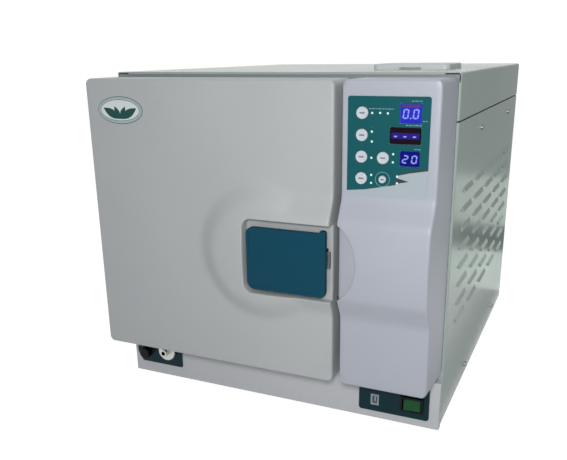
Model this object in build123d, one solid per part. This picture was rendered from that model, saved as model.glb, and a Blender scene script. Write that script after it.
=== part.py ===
# Bench-top steam autoclave, millimetres.
# X runs to the right, Y runs to the back and Z up from the surface that the feet stand on.
# Inside this file Y = 0 is the front edge of the cabinet. place() moves it to the model's own origin.
from build123d import *
from math import cos, radians, sin, sqrt
import os

# Cabinet
cabinet_width = 500.0
cabinet_depth = 570.0
cabinet_height = 472.0
sheet = 1.5
cover_flange = 57.0
cover_bend = 4.0
front_bend = 2.5
side_seam = 2.0
side_lift = 4.0
front_return = 20.0
return_drop = 12.0
roof_hem = 10.0
chassis_flange = 20.0
bulkhead_thick = 3.0
rear_reach = 14.0

# Feet
foot_height = 12.0
foot_radius = 18.0
foot_taper = 2.0
foot_inset_x = 35.0
foot_inset_y = 44.0

# Louvres and screws in the side panels
louvre_length = 60.0
louvre_reach = 2.6
louvre_height = 6.6
louvre_skin = 1.2
louvre_columns = 5
louvre_rows = 8
louvre_pitch_y = 97.0
louvre_pitch_z = 26.5
louvre_first_y = 92.0
louvre_first_z = 144.0
screw_head_r = 4.0
screw_head = 2.2
screw_shank_r = 1.9
screw_clearance = 0.3
screw_drop = 24.0
screw_rise = 14.0
screw_ys = (175.0, 460.0)

# Kick panel
kick_reach = 12.0
kick_height = 70.0
kick_seam = 1.2
kick_bend = 1.4

# Door
door_side_gap = 0.5
door_z = 87.0
door_top_gap = 6.5
door_depth = 63.0
door_gap = 10.0
door_wall = 3.0
door_round = 8.0
edge_round = 3.0
liner_gap = 0.3
back_cover_thick = 3.0
boss_r = 5.0
liner_boss_left = 22.0
liner_boss_right = 17.0
liner_boss_z = 18.0

# Raised belt and round bulge, seen from the side and from the front
crest_drop = 208.0
belt_height = 19.0
belt_shoulder = 14.8
belt_heel = 14.0
belt_fall = 93.0
heel_fall = 58.0
shoulder_rise = 34.0
belt_rise = 73.0
belt_root = 1.2
belt_sink = 12.0
belt_round = 3.0
bulge_inset = 99.0
bulge_fall = 13.0
bulge_r = 98.5
bulge_shoulder_r = 62.0

# Pocket for the handle, and the finger scoop in the control housing
pocket_side_gap = 5.0
pocket_low_gap = 6.0
pocket_high_gap = 10.0
pocket_corner = 12.0
scoop_inset = 25.0
scoop_fall = 12.0
scoop_r = 60.5
scoop_depth = 7.0
scoop_slope = 0.255

# Handle
handle_inset = 5.0
handle_width = 111.0
handle_fall = 60.0
handle_height = 84.5
handle_front = 88.0
handle_thick = 6.0
handle_corner = 10.0
handle_rim_inset = 4.0
handle_rim = 2.0
handle_rim_rise = 0.8
handle_pin_inset = 9.0
handle_pin_y = -78.5
handle_pin_r = 2.0
handle_barrel_r = 5.0
pin_lug_r = 3.2
pin_lug = 4.0
pin_lug_inset = 3.0
pin_lug_gap = 0.5
running_gap = 0.06
hook_fall = 21.0
hook_height = 21.5
hook_reach = 4.0
hook_steel = 3.0
hook_web_inset = 14.0
hook_tip_y = -44.0
hook_nose = 1.5

# Keeper on the bulkhead
keeper_inset = 8.0
keeper_r = 4.0
keeper_y = -50.0
keeper_width = 16.0
keeper_plate = 4.0
keeper_window = 6.0

# Hinges and the door's inner frame
hinge_inset = 11.5
hinge_y = -26.0
hinge_low = 63.0
hinge_high = 65.5
hinge_pin_r = 4.0
knuckle_r = 7.0
knuckle_height = 24.0
lug_thick = 5.0
lug_gap = 0.5
lug_right = 14.0
lug_r = 6.5
hinge_notch = 24.0
leaf_thick = 4.0
leaf_length = 46.0
frame_steel = 4.0
frame_start = 10.0
upright_width = 40.0
arm_half = 55.0
arm_gap = 42.0
frame_window_r = 22.0

# Chamber
chamber_x = -66.0
chamber_z = 282.0
chamber_margin = 68.25
chamber_wall = 2.0
chamber_depth = 430.0
chamber_end = 4.0
chamber_corner = 12.0
rim_width = 16.0
rim_reach = 6.0
chamber_gap = 2.0
jacket_thick = 26.0
jacket_start = 8.0
jacket_gap = 0.4
jacket_step = 4.0
plate_lap = 15.0
plate_thick = 6.0
gasket_thick = 6.0
gasket_set = 2.0
spindle_r = 10.0
cradle_ys = (64.0, 380.0)
cradle_thick = 3.0
cradle_inset = 5.0

# Tray rack
rack_inset = 25.0
rack_sheet = 1.5
rack_top = 58.0
rack_length = 385.0
rack_back_gap = 13.0
rack_seat_gap = 0.25
rail = 8.0
tray_levels = (-56.0, -16.0, 24.0)
tray_gap = 2.5
tray_length = 370.0
tray_depth = 14.0
tray_sheet = 1.0
tray_hole_r = 4.5
tray_hole_step = 40.0
tray_corner = 10.0

# Control housing
housing_split = 9.5
housing_width = 120.5
housing_edge = 3.0
housing_draft = 3.5
housing_z = 87.5
housing_drop = 6.0
housing_gap = 3.0
housing_wall = 3.0
belt_wall = 8.0
keypad_inset = 7.7
keypad_width = 97.8
keypad_drop = 18.4
keypad_height = 115.6
keypad_sheet = 0.6
key_r = 7.1
key_proud = 2.4
key_flange = 1.2
key_travel = 0.8
key_gap = 0.3
key_stem_r = 2.0
start_key_r = 4.4
board_y = -60.0
board_thick = 1.6
switch_body = 3.0
lamp_r = 1.3
window_depth = 3.6

# Lock bolt from the control housing into the side of the door
bolt_y = -42.0
bolt_rise = 60.0
bolt_r = 4.0
bolt_gap = 1.0
bolt_travel = 16.0
bolt_coil_r = 12.0
bolt_body = 44.0
bolt_cheek = 4.0
bolt_half = 14.0

# Drain plate and its fittings
service_plate = 2.0
drain_inset = 6.5
drain_width = 83.5
drain_low = 30.5
drain_high = 74.0
drain_cut = 14.0
knob_inset = 24.5
knob_z = 47.5
knob_r = 9.0
knob_length = 9.0
knob_spindle_r = 3.0
coupling_inset = 64.0
coupling_z = 55.5
coupling_r = 15.0
coupling_nut = 5.0
coupling_spout_r = 6.0
coupling_spout = 8.0
coupling_bore_r = 3.5

# Switch plate, rocker and port
switch_inset = 14.0
switch_width = 100.0
switch_low = 23.3
switch_high = 72.0
bezel_inset = 21.6
bezel_width = 31.9
bezel_low = 32.4
bezel_high = 55.4
bezel_lip = 2.0
bezel_proud = 3.0
bezel_depth = 22.0
rocker_gap = 0.5
rocker_depth = 4.0
well_wall = 0.8
rocker_pivot_r = 2.0
rocker_tilt = 6.0
port_inset = 85.0
port_width = 11.0
port_low = 33.6
port_high = 49.3

# Filler lid and tanks
lid_left_inset = 9.0
lid_right_inset = 28.0
lid_front = 110.0
lid_back = 200.0
lid_height = 7.5
lid_skin = 2.0
lid_hinge_r = 2.6
lid_pin_r = 1.5
lid_hinge_gap = 3.0
lid_post = 4.0
lid_post_gap = 0.5
lid_ear = 8.0
lid_ear_inset = 20.0
neck_inset = 8.0
neck_wall = 3.0
neck_gap = 2.0
clean_left = 96.0
clean_side_gap = 10.0
clean_front = 60.0
clean_back = 300.0
clean_low = 330.0
clean_top_gap = 16.0
shelf_ys = (90.0, 250.0)
shelf_width = 20.0
used_side_gap = 14.0
used_right = -40.0
used_front = 80.0
used_back = 360.0
used_gap = 19.0
tank_wall = 3.0
tank_corner = 10.0

# Steam generator, vacuum pump, condenser, fan and valves
generator_inset = 55.0
generator_y = 230.0
generator_r = 38.0
generator_top = 196.0
band_low = 70.0
band_high = 130.0
pump_x = 150.0
pump_front = 340.0
pump_back = 480.0
pump_r = 42.0
fan_x = 140.0
fan_z = 330.0
fan_size = 120.0
fan_thick = 38.0
fan_bore_r = 57.0
fan_hub_r = 20.0
fan_tip_gap = 2.0
fan_blades = 7
condenser_depth = 38.0
condenser_fins = 14
valve_left = -160.0
valve_right = -40.0
valve_low = 178.0
valve_high = 206.0
valve_depth = 30.0
coil_half = 13.0
safety_x = -66.0
safety_z = 400.0
safety_r = 11.0
safety_body = 28.0
pipe_r = 4.0
pipe_wall = 1.0
pipe_bend = 14.0
pipe_hole_r = 7.0
suction_z = 170.0
feed_shift = 16.0

# Power inlet
inlet_inset = 60.0
inlet_z = 70.0
inlet_width = 50.0
inlet_height = 24.0
inlet_flange = 2.5
inlet_body_width = 28.0
inlet_body_height = 20.0
inlet_cavity = 16.0

# Badge on the door
badge_inset = 56.0
badge_drop = 41.5
badge_width = 74.0
badge_height = 37.0
badge_thick = 1.2

# Places worked out from the sizes above
half = cabinet_width / 2
inner_x = half - sheet
base_z = foot_height
floor_z = base_z + sheet
roof_z = base_z + cabinet_height
seam_z = roof_z - cover_flange
low_screw_z = base_z + side_lift + screw_rise
back_y = cabinet_depth - sheet
bulkhead_y = sheet
bulkhead_back = bulkhead_y + bulkhead_thick
kick_front = -kick_reach
kick_top = base_z + kick_height
plate_face = kick_front - service_plate
door_back = -door_gap
door_face = door_back - door_depth
skin_y = door_face + door_wall
crest_y = door_face - belt_height
housing_right = half - housing_edge
housing_left = housing_right - housing_width
housing_top = roof_z - housing_drop
housing_back = -housing_gap
door_left = -half + door_side_gap
door_right = housing_left - housing_split
door_width = door_right - door_left
door_top = roof_z - door_top_gap
belt_crest_z = housing_top - crest_drop
belt_low_z = belt_crest_z - belt_fall
belt_heel_z = belt_crest_z - heel_fall
belt_shoulder_z = belt_crest_z + shoulder_rise
belt_high_z = belt_crest_z + belt_rise
bulge_x = door_right - bulge_inset
bulge_z = belt_crest_z - bulge_fall
scoop_x = door_right - scoop_inset
scoop_z = belt_crest_z - scoop_fall
handle_right = door_right - handle_inset
handle_left = handle_right - handle_width
handle_low = belt_crest_z - handle_fall
handle_high = handle_low + handle_height
handle_back = -handle_front + handle_thick
handle_pin_x = handle_left + handle_pin_inset
lug_low_z = handle_low + pin_lug_inset
lug_high_z = handle_high - pin_lug_inset
pocket_left = handle_left - pocket_side_gap
pocket_low = handle_low - pocket_low_gap
pocket_high = handle_high + pocket_high_gap
hook_low = belt_crest_z - hook_fall
hook_high = hook_low + hook_height
hook_web_x = handle_right - hook_web_inset
keeper_x = hook_web_x - keeper_inset
bolt_z = belt_crest_z + bolt_rise
hinge_x = door_left + hinge_inset
hinge_zs = (door_z + hinge_low, door_top - hinge_high)
frame_front = hinge_y - knuckle_r - leaf_thick
frame_back = frame_front + frame_steel
frame_left = hinge_x + frame_start
arm_right = hook_web_x - arm_gap
keypad_left = housing_left + keypad_inset
keypad_right = keypad_left + keypad_width
keypad_high = housing_top - keypad_drop
keypad_low = keypad_high - keypad_height
badge_x = door_left + badge_inset
badge_z = door_top - badge_drop
chamber_r = door_width / 2 - chamber_margin
rim_front = -rim_reach
rim_r = chamber_r + rim_width
plate_r = chamber_r + plate_lap
plate_back = rim_front - gasket_thick
plate_front = plate_back - plate_thick
gasket_inner_r = chamber_r + gasket_set
chamber_back = rim_front + chamber_depth
vessel_end = chamber_back + chamber_end
vessel_r = chamber_r + chamber_wall
jacket_r = vessel_r + jacket_thick
jacket_back = vessel_end + jacket_thick - jacket_step
cradle_half = chamber_r - cradle_inset
rack_x = chamber_r - rack_inset
rack_back = chamber_back - rack_back_gap
rack_front = rack_back - rack_length
rack_low = chamber_z - sqrt((chamber_r - rack_seat_gap) ** 2 - (rack_x + rack_sheet) ** 2)
tray_half = rack_x - tray_gap
drain_left = -half + drain_inset
drain_right = drain_left + drain_width
knob_x = -half + knob_inset
coupling_x = -half + coupling_inset
switch_right = half - switch_inset
switch_left = switch_right - switch_width
bezel_right = half - bezel_inset
bezel_left = bezel_right - bezel_width
port_right = half - port_inset
port_left = port_right - port_width
rocker_x = (bezel_left + bezel_right) / 2
rocker_y = plate_face + rocker_depth
clean_right = half - clean_side_gap
clean_high = roof_z - clean_top_gap
lid_left = clean_left + lid_left_inset
lid_right = clean_right - lid_right_inset
lid_hinge_y = lid_back + lid_hinge_gap
lid_hinge_z = roof_z + lid_hinge_gap
used_left = -half + used_side_gap
used_high = chamber_z - jacket_r - used_gap
generator_x = half - generator_inset
pump_top = floor_z + 2 * pump_r
fan_front = back_y - fan_thick
condenser_front = fan_front - condenser_depth
valve_front = back_y - valve_depth
inlet_x = half - inlet_inset
overall_depth = cabinet_depth + rear_reach - crest_y
origin_y = crest_y + overall_depth / 2


def block(x0, x1, y0, y1, z0, z1):
    """Box between two corners."""
    middle = Pos((x0 + x1) / 2, (y0 + y1) / 2, (z0 + z1) / 2)
    return middle * Box(x1 - x0, y1 - y0, z1 - z0)


def rod_x(x0, x1, y, z, r):
    return Pos((x0 + x1) / 2, y, z) * Rot(0, 90, 0) * Cylinder(r, x1 - x0)


def rod_y(x, y0, y1, z, r):
    return Pos(x, (y0 + y1) / 2, z) * Rot(90, 0, 0) * Cylinder(r, y1 - y0)


def rod_z(x, y, z0, z1, r):
    return Pos(x, y, (z0 + z1) / 2) * Cylinder(r, z1 - z0)


def plate_y(sketch, y0, y1):
    """A sketch in X and Z, made solid from y0 back to y1."""
    return extrude(Plane.XZ.offset(-y1) * sketch, amount=y1 - y0)


def prism_x(sketch, x0, x1):
    """A sketch in Y and Z, made solid from x0 to x1."""
    return extrude(Plane.YZ.offset(x0) * sketch, amount=x1 - x0)


def turned_y(points, x, z):
    """Turned piece about the line along Y at x, z. The points are radius and Y."""
    return Pos(x, 0, z) * revolve(make_face(Polyline(*points, close=True)), Axis.Y)


def ring_y(x, y0, y1, z, inner_r, outer_r):
    return rod_y(x, y0, y1, z, outer_r) - rod_y(x, y0 - 1, y1 + 1, z, inner_r)


def pipe(*points):
    """A bent tube with its mid line through the points."""
    if len(points) == 2:
        path = Line(*points)
    else:
        path = FilletPolyline(*points, radius=pipe_bend)
    start = Plane(origin=path @ 0, z_dir=path % 0)
    return sweep(start * (Circle(pipe_r) - Circle(pipe_r - pipe_wall)), path=path)


def joined(pieces):
    """Several solids fused in one step."""
    first, *rest = pieces
    return first + rest


def group(pieces):
    """Separate solids that share one node."""
    solids = [solid for piece in pieces for solid in piece.solids()]
    return Compound(children=solids)


# Cabinet shell


def make_chassis_base():
    tray = block(-inner_x, inner_x, kick_front + sheet, back_y, base_z, floor_z + chassis_flange)
    tray -= block(
        -inner_x + sheet, inner_x - sheet, kick_front + 2 * sheet, back_y - sheet, floor_z, roof_z
    )
    vents = [
        block(60, 180, y, y + 5, base_z - 1, floor_z + 1)
        for y in range(int(pump_back) + 14, int(back_y) - 16, 14)
    ]
    feet_holes = [rod_z(x, y, base_z - 1, floor_z + 1, screw_shank_r + screw_clearance)
                  for x, y in foot_places()]
    screw_holes = [rod_x(-half, half, y, low_screw_z, screw_shank_r + screw_clearance) for y in screw_ys]
    return tray - vents - feet_holes - screw_holes


def foot_places():
    xs = (-half + foot_inset_x, half - foot_inset_x)
    ys = (foot_inset_y, cabinet_depth - foot_inset_y)
    return [(x, y) for x in xs for y in ys]


def make_feet():
    recess = 5.5
    profile = make_face(Polyline(
        (recess, 0), (foot_radius - foot_taper, 0), (foot_radius, foot_height),
        (0, foot_height), (0, foot_height / 2), (recess, foot_height / 2), close=True))
    foot = revolve(Plane.XZ * profile, Axis.Z)
    return group([Pos(x, y, 0) * foot for x, y in foot_places()])


def make_top_cover():
    shell = block(-half, half, 0, cabinet_depth, seam_z, roof_z)
    shell = fillet(shell.edges().filter_by(Axis.Y).group_by(Axis.Z)[-1], cover_bend)
    inner = block(-inner_x, inner_x, -1, cabinet_depth + 1, seam_z - 1, roof_z - sheet)
    inner = fillet(inner.edges().filter_by(Axis.Y).group_by(Axis.Z)[-1], cover_bend - sheet)
    shell -= inner
    top = roof_z - sheet
    left_return = block(-inner_x, -half + front_return, 0, sheet, seam_z, roof_z - return_drop)
    right_return = block(half - front_return, inner_x, 0, sheet, seam_z, roof_z - return_drop)
    hem = block(-half + front_return, half - front_return, 0, roof_hem, top - sheet, top)
    hem -= block(-half, half, sheet, roof_hem + 1, top - sheet - 1, top - sheet + 0.01)
    x0, x1, y0, y1 = neck_outline()
    opening = block(x0 - neck_gap, x1 + neck_gap, y0 - neck_gap, y1 + neck_gap, top - 1, roof_z + 1)
    return joined([shell, left_return, right_return, hem]) - opening - corner_trims(seam_z, roof_z)


def corner_trims(z0, z1):
    """What the rounded upright folds leave out at the cabinet's front corners."""
    r = front_bend
    trims = []
    for side in (-1, 1):
        near, far = sorted((side * (half - r), side * (half + 1)))
        trims.append(block(near, far, -1, r, z0 - 1, z1 + 1) - rod_z(side * (half - r), r, z0 - 2, z1 + 2, r))
    return trims


def louvre(side):
    """Hood of one louvre and the slot under it, at the panel's outer face."""
    outside = side * half
    reach = side * louvre_reach
    skin = side * louvre_skin
    top = louvre_height
    hood = make_face(Polyline(
        (outside, top), (outside + reach, 0), (outside + reach, -0.8), (outside, -0.8), close=True))
    under = make_face(Polyline(
        (outside - side * 0.01, top - 2.4), (outside + reach - skin, -0.01),
        (outside + reach - skin, -1), (outside - side * 0.01, -1), close=True))
    length = louvre_length
    hood_solid = extrude(Plane.XZ.offset(length / 2) * hood, amount=-length)
    inner_length = length - 2 * louvre_skin
    under_solid = extrude(Plane.XZ.offset(inner_length / 2) * under, amount=-inner_length)
    low, high = sorted((outside - side * (sheet + 1), outside + side * 0.02))
    slot = block(low, high, -inner_length / 2, inner_length / 2, -0.8, top - 2.4)
    return hood_solid - under_solid, slot


def louvre_places():
    return [Pos(0, louvre_first_y + column * louvre_pitch_y, louvre_first_z + row * louvre_pitch_z)
            for column in range(louvre_columns) for row in range(louvre_rows)]


def screw_places():
    """Y and Z of the screws in one side panel."""
    zs = (low_screw_z, seam_z - screw_drop)
    return [(y, z) for y in screw_ys for z in zs]


def make_side_panel(side):
    low_z = base_z + side_lift
    high_z = seam_z - side_seam
    skin = block(*sorted((side * inner_x, side * half)), 0, cabinet_depth, low_z, high_z)
    edge_z = floor_z + chassis_flange + 0.5
    edge = block(*sorted((side * (half - front_return), side * half)), 0, sheet, edge_z, high_z)
    hood, slot = louvre(side)
    hoods = [place * hood for place in louvre_places()]
    slots = [place * slot for place in louvre_places()]
    holes = [rod_x(*sorted((side * (inner_x - 1), side * (half + 1))), y, z,
                   screw_shank_r + screw_clearance) for y, z in screw_places()]
    return joined([skin, edge] + hoods) - slots - holes - corner_trims(low_z, high_z)


def make_panel_screws():
    screws = []
    for side in (-1, 1):
        for y, z in screw_places():
            head = rod_x(*sorted((side * half, side * (half + screw_head))), y, z, screw_head_r)
            near, far = sorted((side * (half + 1), side * (half + 3)))
            cross = block(near, far, y - 2.4, y + 2.4, z - 0.5, z + 0.5)
            cross += block(near, far, y - 0.5, y + 0.5, z - 2.4, z + 2.4)
            shank = rod_x(*sorted((side * (half - 10), side * half)), y, z, screw_shank_r)
            screws.append(head + shank - cross)
    return group(screws)


def make_kick_panel():
    face = block(-half, half, kick_front, kick_front + sheet, base_z, kick_top)
    left = block(-half, -inner_x, kick_front, -kick_seam, base_z, kick_top)
    right = block(inner_x, half, kick_front, -kick_seam, base_z, kick_top)
    lip = block(-half, half, kick_front, bulkhead_y, kick_top - sheet, kick_top)
    lip -= block(-half - 1, -half + front_return, -kick_seam, 3, kick_top - 3, kick_top + 1)
    lip -= block(half - front_return, half + 1, -kick_seam, 3, kick_top - 3, kick_top + 1)
    panel = joined([face, left, right, lip])
    front_corners = panel.edges().filter_by(Axis.Z).group_by(Axis.Y)[0]
    panel = fillet(front_corners, kick_bend)
    spindle_hole = rod_y(knob_x, kick_front - 1, 0, knob_z, knob_spindle_r + 0.5)
    coupling_hole = rod_y(coupling_x, kick_front - 1, 0, coupling_z, coupling_spout_r + 3)
    return panel - [spindle_hole, coupling_hole, switch_cut(), port_cut()]


def switch_cut():
    lip = bezel_lip
    return block(bezel_left + lip, bezel_right - lip, kick_front - 5, bulkhead_y,
                 bezel_low + lip - 0.3, bezel_high - lip + 0.3)


def port_cut():
    return block(port_left, port_right, kick_front - 5, bulkhead_y - 2, port_low, port_high)


def make_bulkhead():
    edge = inner_x - sheet
    plate = block(-edge, edge, bulkhead_y, bulkhead_back, floor_z, roof_z - 2 * sheet)
    mouth = rod_y(chamber_x, bulkhead_y - 1, bulkhead_back + 1, chamber_z, vessel_r + chamber_gap)
    drain = rod_y(coupling_x, bulkhead_y - 1, bulkhead_back + 1, coupling_z, coupling_spout_r + 3)
    loom = block(housing_left + 24, housing_right - 32, bulkhead_y - 1, bulkhead_back + 1,
                 belt_crest_z - 10, belt_crest_z + 50)
    switch = block(bezel_left - 2, bezel_right + 2, bulkhead_y - 1, bulkhead_back + 1,
                   bezel_low - 4, bezel_high + 4)
    return plate - [mouth, drain, loom, switch]


def make_back_panel():
    panel = block(-inner_x, inner_x, back_y, cabinet_depth, floor_z, roof_z - sheet)
    panel = fillet(panel.edges().filter_by(Axis.Y).group_by(Axis.Z)[-1], cover_bend - sheet)
    slots = []
    pitch = 9.0
    count = int(2 * fan_bore_r / pitch)
    for i in range(count):
        z = fan_z + (i - (count - 1) / 2) * pitch
        reach = sqrt(max(fan_bore_r ** 2 - (z - fan_z) ** 2, 100)) - 3
        slots.append(block(fan_x - reach, fan_x - 3, back_y - 1, cabinet_depth + 1, z - 2.5, z + 2.5))
        slots.append(block(fan_x + 3, fan_x + reach, back_y - 1, cabinet_depth + 1, z - 2.5, z + 2.5))
    inlet = inlet_block(inlet_body_width + 1, inlet_body_height + 1, back_y - 1, cabinet_depth + 1)
    safety = rod_y(safety_x, back_y - 1, cabinet_depth + 1, safety_z, safety_r - 3 + 0.3)
    return panel - slots - [inlet, safety]


# Door and control housing share the belt


def belt_section(front_y, deep_y):
    """Section of the belt in Y and Z, from its root in the skin out to its crest."""
    root = front_y + belt_root
    high = Bezier((root, belt_high_z), (front_y, belt_high_z - 6), (front_y - 10, belt_shoulder_z + 15),
                  (front_y - belt_shoulder, belt_shoulder_z))
    crown = Spline((front_y - belt_shoulder, belt_shoulder_z), (front_y - belt_height, belt_crest_z),
                   (front_y - belt_heel, belt_heel_z),
                   tangents=[(-0.32, -1, 0), (0, -1, 0), (0.30, -1, 0)])
    low = Bezier((front_y - belt_heel, belt_heel_z), (front_y - belt_heel + 5, belt_heel_z - 14),
                 (front_y, belt_low_z + 9), (root, belt_low_z))
    back = Polyline((root, belt_low_z), (deep_y, belt_low_z), (deep_y, belt_high_z), (root, belt_high_z))
    return make_face(high + crown + low + back)


def make_bulge():
    """Round bulge about the middle of the pocket."""
    root = door_face + belt_root
    flank = Bezier((bulge_r, root), (bulge_r - 10, door_face), (bulge_shoulder_r + 14, door_face - 12),
                   (bulge_shoulder_r, door_face - belt_shoulder))
    crown = ThreePointArc((bulge_shoulder_r, door_face - belt_shoulder),
                          (bulge_shoulder_r / 2, door_face - belt_height + 1.1),
                          (0, door_face - belt_height))
    deep = door_face + belt_sink
    back = Polyline((0, door_face - belt_height), (0, deep), (bulge_r, deep), (bulge_r, root))
    return Pos(bulge_x, 0, bulge_z) * revolve(make_face(flank + crown + back), Axis.Y)


def hinge_ranges(margin):
    return [(z - margin, z + margin) for z in hinge_zs]


def make_door_cover():
    slab = block(door_left, door_right, door_face, door_back, door_z, door_top)
    slab = fillet(slab.edges().filter_by(Axis.Y), door_round)
    slab = fillet(slab.edges().group_by(Axis.Y)[0], edge_round)
    belt = prism_x(belt_section(door_face, door_face + belt_sink), bulge_x, door_right)
    belt = fillet(belt_end(belt, -1), belt_round)
    shell = joined([slab, belt, make_bulge()])
    cavity = block(door_left + door_wall, door_right - door_wall, skin_y, door_back + 1,
                   door_z + door_wall, door_top - door_wall)
    cavity = fillet(cavity.edges().filter_by(Axis.Y), door_round - door_wall)
    inner_bulge = rod_y(bulge_x, door_face - 9, skin_y + 1, bulge_z, bulge_r - 35)
    inner_bulge -= block(pocket_left - door_wall, door_right, door_face - 10, skin_y,
                         pocket_low - door_wall, pocket_high + door_wall)
    pocket = block(pocket_left, door_right + 1, crest_y - 5, door_face, pocket_low, pocket_high)
    pocket = fillet(pocket.edges().filter_by(Axis.Y).group_by(Axis.X)[0], pocket_corner)
    pin_seat = rod_z(handle_pin_x, handle_pin_y, lug_low_z - 1, lug_high_z + 1, handle_pin_r)
    hook_slot = block(hook_web_x - 2.5, hook_web_x + 13, door_face - 1, skin_y + 1,
                      hook_low - 2, hook_high + 2)
    bolt_hole = rod_x(door_right - door_wall - 1, door_right + 1, bolt_y, bolt_z, bolt_r + bolt_gap)
    notches = [block(door_left - 1, door_left + door_wall + 0.5, hinge_y - 17, door_back + 1, low, high)
               for low, high in hinge_ranges(hinge_notch)]
    shell -= [cavity, inner_bulge, pocket, hook_slot, bolt_hole] + notches
    liner_bosses = [rod_y(x, skin_y - 0.5, door_back - back_cover_thick, z, boss_r)
                    for x in (door_left + liner_boss_left, door_right - liner_boss_right)
                    for z in (door_z + liner_boss_z, door_top - liner_boss_z)]
    frame_bosses = [rod_y(x, skin_y - 0.5, frame_front, z, boss_r) for x, z in frame_screws()]
    lugs = []
    for low in (lug_low_z, lug_high_z - pin_lug):
        lugs.append(rod_z(handle_pin_x, handle_pin_y, low, low + pin_lug, pin_lug_r))
        lugs.append(block(handle_pin_x - pin_lug_r, handle_pin_x + pin_lug_r, handle_pin_y, door_face + 1,
                          low, low + pin_lug))
    return joined([shell] + liner_bosses + frame_bosses + lugs) - pin_seat


def frame_screws():
    """X and Z of the places where the door's frame is held to its cover."""
    upright_x = frame_left + upright_width / 2
    arm_x = arm_right - 16
    return [(upright_x, hinge_zs[0] - 15), (upright_x, hinge_zs[1] + 15),
            (arm_x, chamber_z - arm_half + 10), (arm_x, chamber_z + arm_half - 10)]


def belt_end(belt, place):
    """The curved edges round one end of the belt, without the buried ones. The right end is place -1."""
    edges = [edge for edge in belt.faces().sort_by(Axis.X)[place].edges()
             if edge.center().Y < door_face + belt_root]
    return ShapeList(edges)


def make_back_cover():
    gap = liner_gap
    x0 = door_left + door_wall + gap
    x1 = door_right - door_wall - gap
    plate = block(x0, x1, door_back - back_cover_thick, door_back, door_z + door_wall + gap,
                  door_top - door_wall - gap)
    plate = fillet(plate.edges().filter_by(Axis.Y), door_round - door_wall - gap)
    mouth = rod_y(chamber_x, door_back - 10, door_back + 1, chamber_z, plate_r + 3)
    keeper = block(keeper_x - keeper_width / 2 - keeper_window, hook_web_x + 12,
                   door_back - 10, door_back + 1,
                   hook_low - keeper_window - 8, hook_high + keeper_window + 8)
    notches = [block(door_left - 1, hinge_x + lug_right + 6, door_back - 10, door_back + 1, low, high)
               for low, high in hinge_ranges(hinge_notch - 2)]
    return plate - [mouth, keeper] - notches


def make_badge():
    oval = Pos(badge_x, badge_z) * Ellipse(badge_width / 2, badge_height / 2)
    badge = plate_y(oval, door_face - badge_thick, door_face)
    outer = Ellipse(badge_width / 2 - 2.5, badge_height / 2 - 2.5)
    groove = Pos(badge_x, badge_z) * (outer - Ellipse(badge_width / 2 - 4, badge_height / 2 - 4))
    return badge - plate_y(groove, door_face - badge_thick - 1, door_face - badge_thick + 0.4)


def make_pressure_plate():
    return turned_y([(0, plate_front), (plate_r, plate_front), (plate_r, plate_back),
                     (gasket_inner_r - 1, plate_back), (gasket_inner_r - 5, plate_back + 4),
                     (60, plate_back + 7), (0, plate_back + 7)], chamber_x, chamber_z)


def make_gasket():
    return turned_y([(gasket_inner_r, plate_back), (plate_r - 1, plate_back), (plate_r - 2.5, rim_front),
                     (gasket_inner_r + 1.5, rim_front)], chamber_x, chamber_z)


def make_door_frame():
    """Steel frame behind the door's skin: an upright at the hinges and an arm to the spindle."""
    upright = block(frame_left, frame_left + upright_width, frame_front, frame_back,
                    hinge_zs[0] - 30, hinge_zs[1] + 30)
    arm = block(frame_left, arm_right, frame_front, frame_back, chamber_z - arm_half, chamber_z + arm_half)
    ribs = [block(frame_left, arm_right, frame_front - 12, frame_front, z - 1.5, z + 1.5)
            for z in (chamber_z - arm_half + 1.5, chamber_z + arm_half - 1.5)]
    bore = rod_y(chamber_x, frame_front - 1, frame_back + 1, chamber_z, spindle_r - 2 + running_gap)
    windows = [rod_y(x, frame_front - 1, frame_back + 1, chamber_z, frame_window_r)
               for x in (chamber_x - 75, arm_right - 47)]
    frame = joined([upright, arm] + ribs)
    return frame - bore - windows


def make_spindle():
    """Spindle that carries the pressure plate, with its nut in front of the frame."""
    collar = rod_y(chamber_x, frame_back, plate_front, chamber_z, spindle_r + 8)
    shaft = rod_y(chamber_x, frame_front - 14, frame_back, chamber_z, spindle_r - 2)
    hexagon = Pos(chamber_x, chamber_z) * RegularPolygon(spindle_r + 4, 6)
    nut = plate_y(hexagon, frame_front - 9, frame_front)
    return joined([collar, shaft, nut])


def make_hinge_arms():
    arms = []
    for z in hinge_zs:
        z0, z1 = z - knuckle_height / 2, z + knuckle_height / 2
        knuckle = rod_z(hinge_x, hinge_y, z0, z1, knuckle_r)
        leaf = block(hinge_x, hinge_x + leaf_length, frame_back, frame_back + leaf_thick, z0, z1)
        bore = rod_z(hinge_x, hinge_y, z0 - 1, z1 + 1, hinge_pin_r + running_gap)
        arms.append(knuckle + leaf - bore)
    return group(arms)


def lug_levels():
    """Low and high face of each lug."""
    levels = []
    for z in hinge_zs:
        reach = knuckle_height / 2 + lug_gap
        levels.append((z - reach - lug_thick, z - reach))
        levels.append((z + reach, z + reach + lug_thick))
    return levels


def make_hinge_brackets():
    """Brackets on the bulkhead, each with two lugs and the pin between them."""
    brackets = []
    wall_front = bulkhead_y - 4
    for z in hinge_zs:
        reach = knuckle_height / 2 + lug_gap + lug_thick
        base = block(-inner_x + front_return + 3, hinge_x + lug_right + 22, wall_front, bulkhead_y,
                     z - reach, z + reach)
        pieces = [base]
        for low, high in lug_levels():
            if abs((low + high) / 2 - z) < reach:
                arm = block(hinge_x - lug_r, hinge_x + lug_right, hinge_y, wall_front, low, high)
                foot = block(hinge_x, hinge_x + lug_right + 10, wall_front - 2, wall_front, low, high)
                nose = rod_z(hinge_x, hinge_y, low, high, lug_r)
                pieces += [arm, nose, foot]
        pieces.append(rod_z(hinge_x, hinge_y, z - reach, z + reach, hinge_pin_r))
        brackets.append(joined(pieces))
    return group(brackets)


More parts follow.
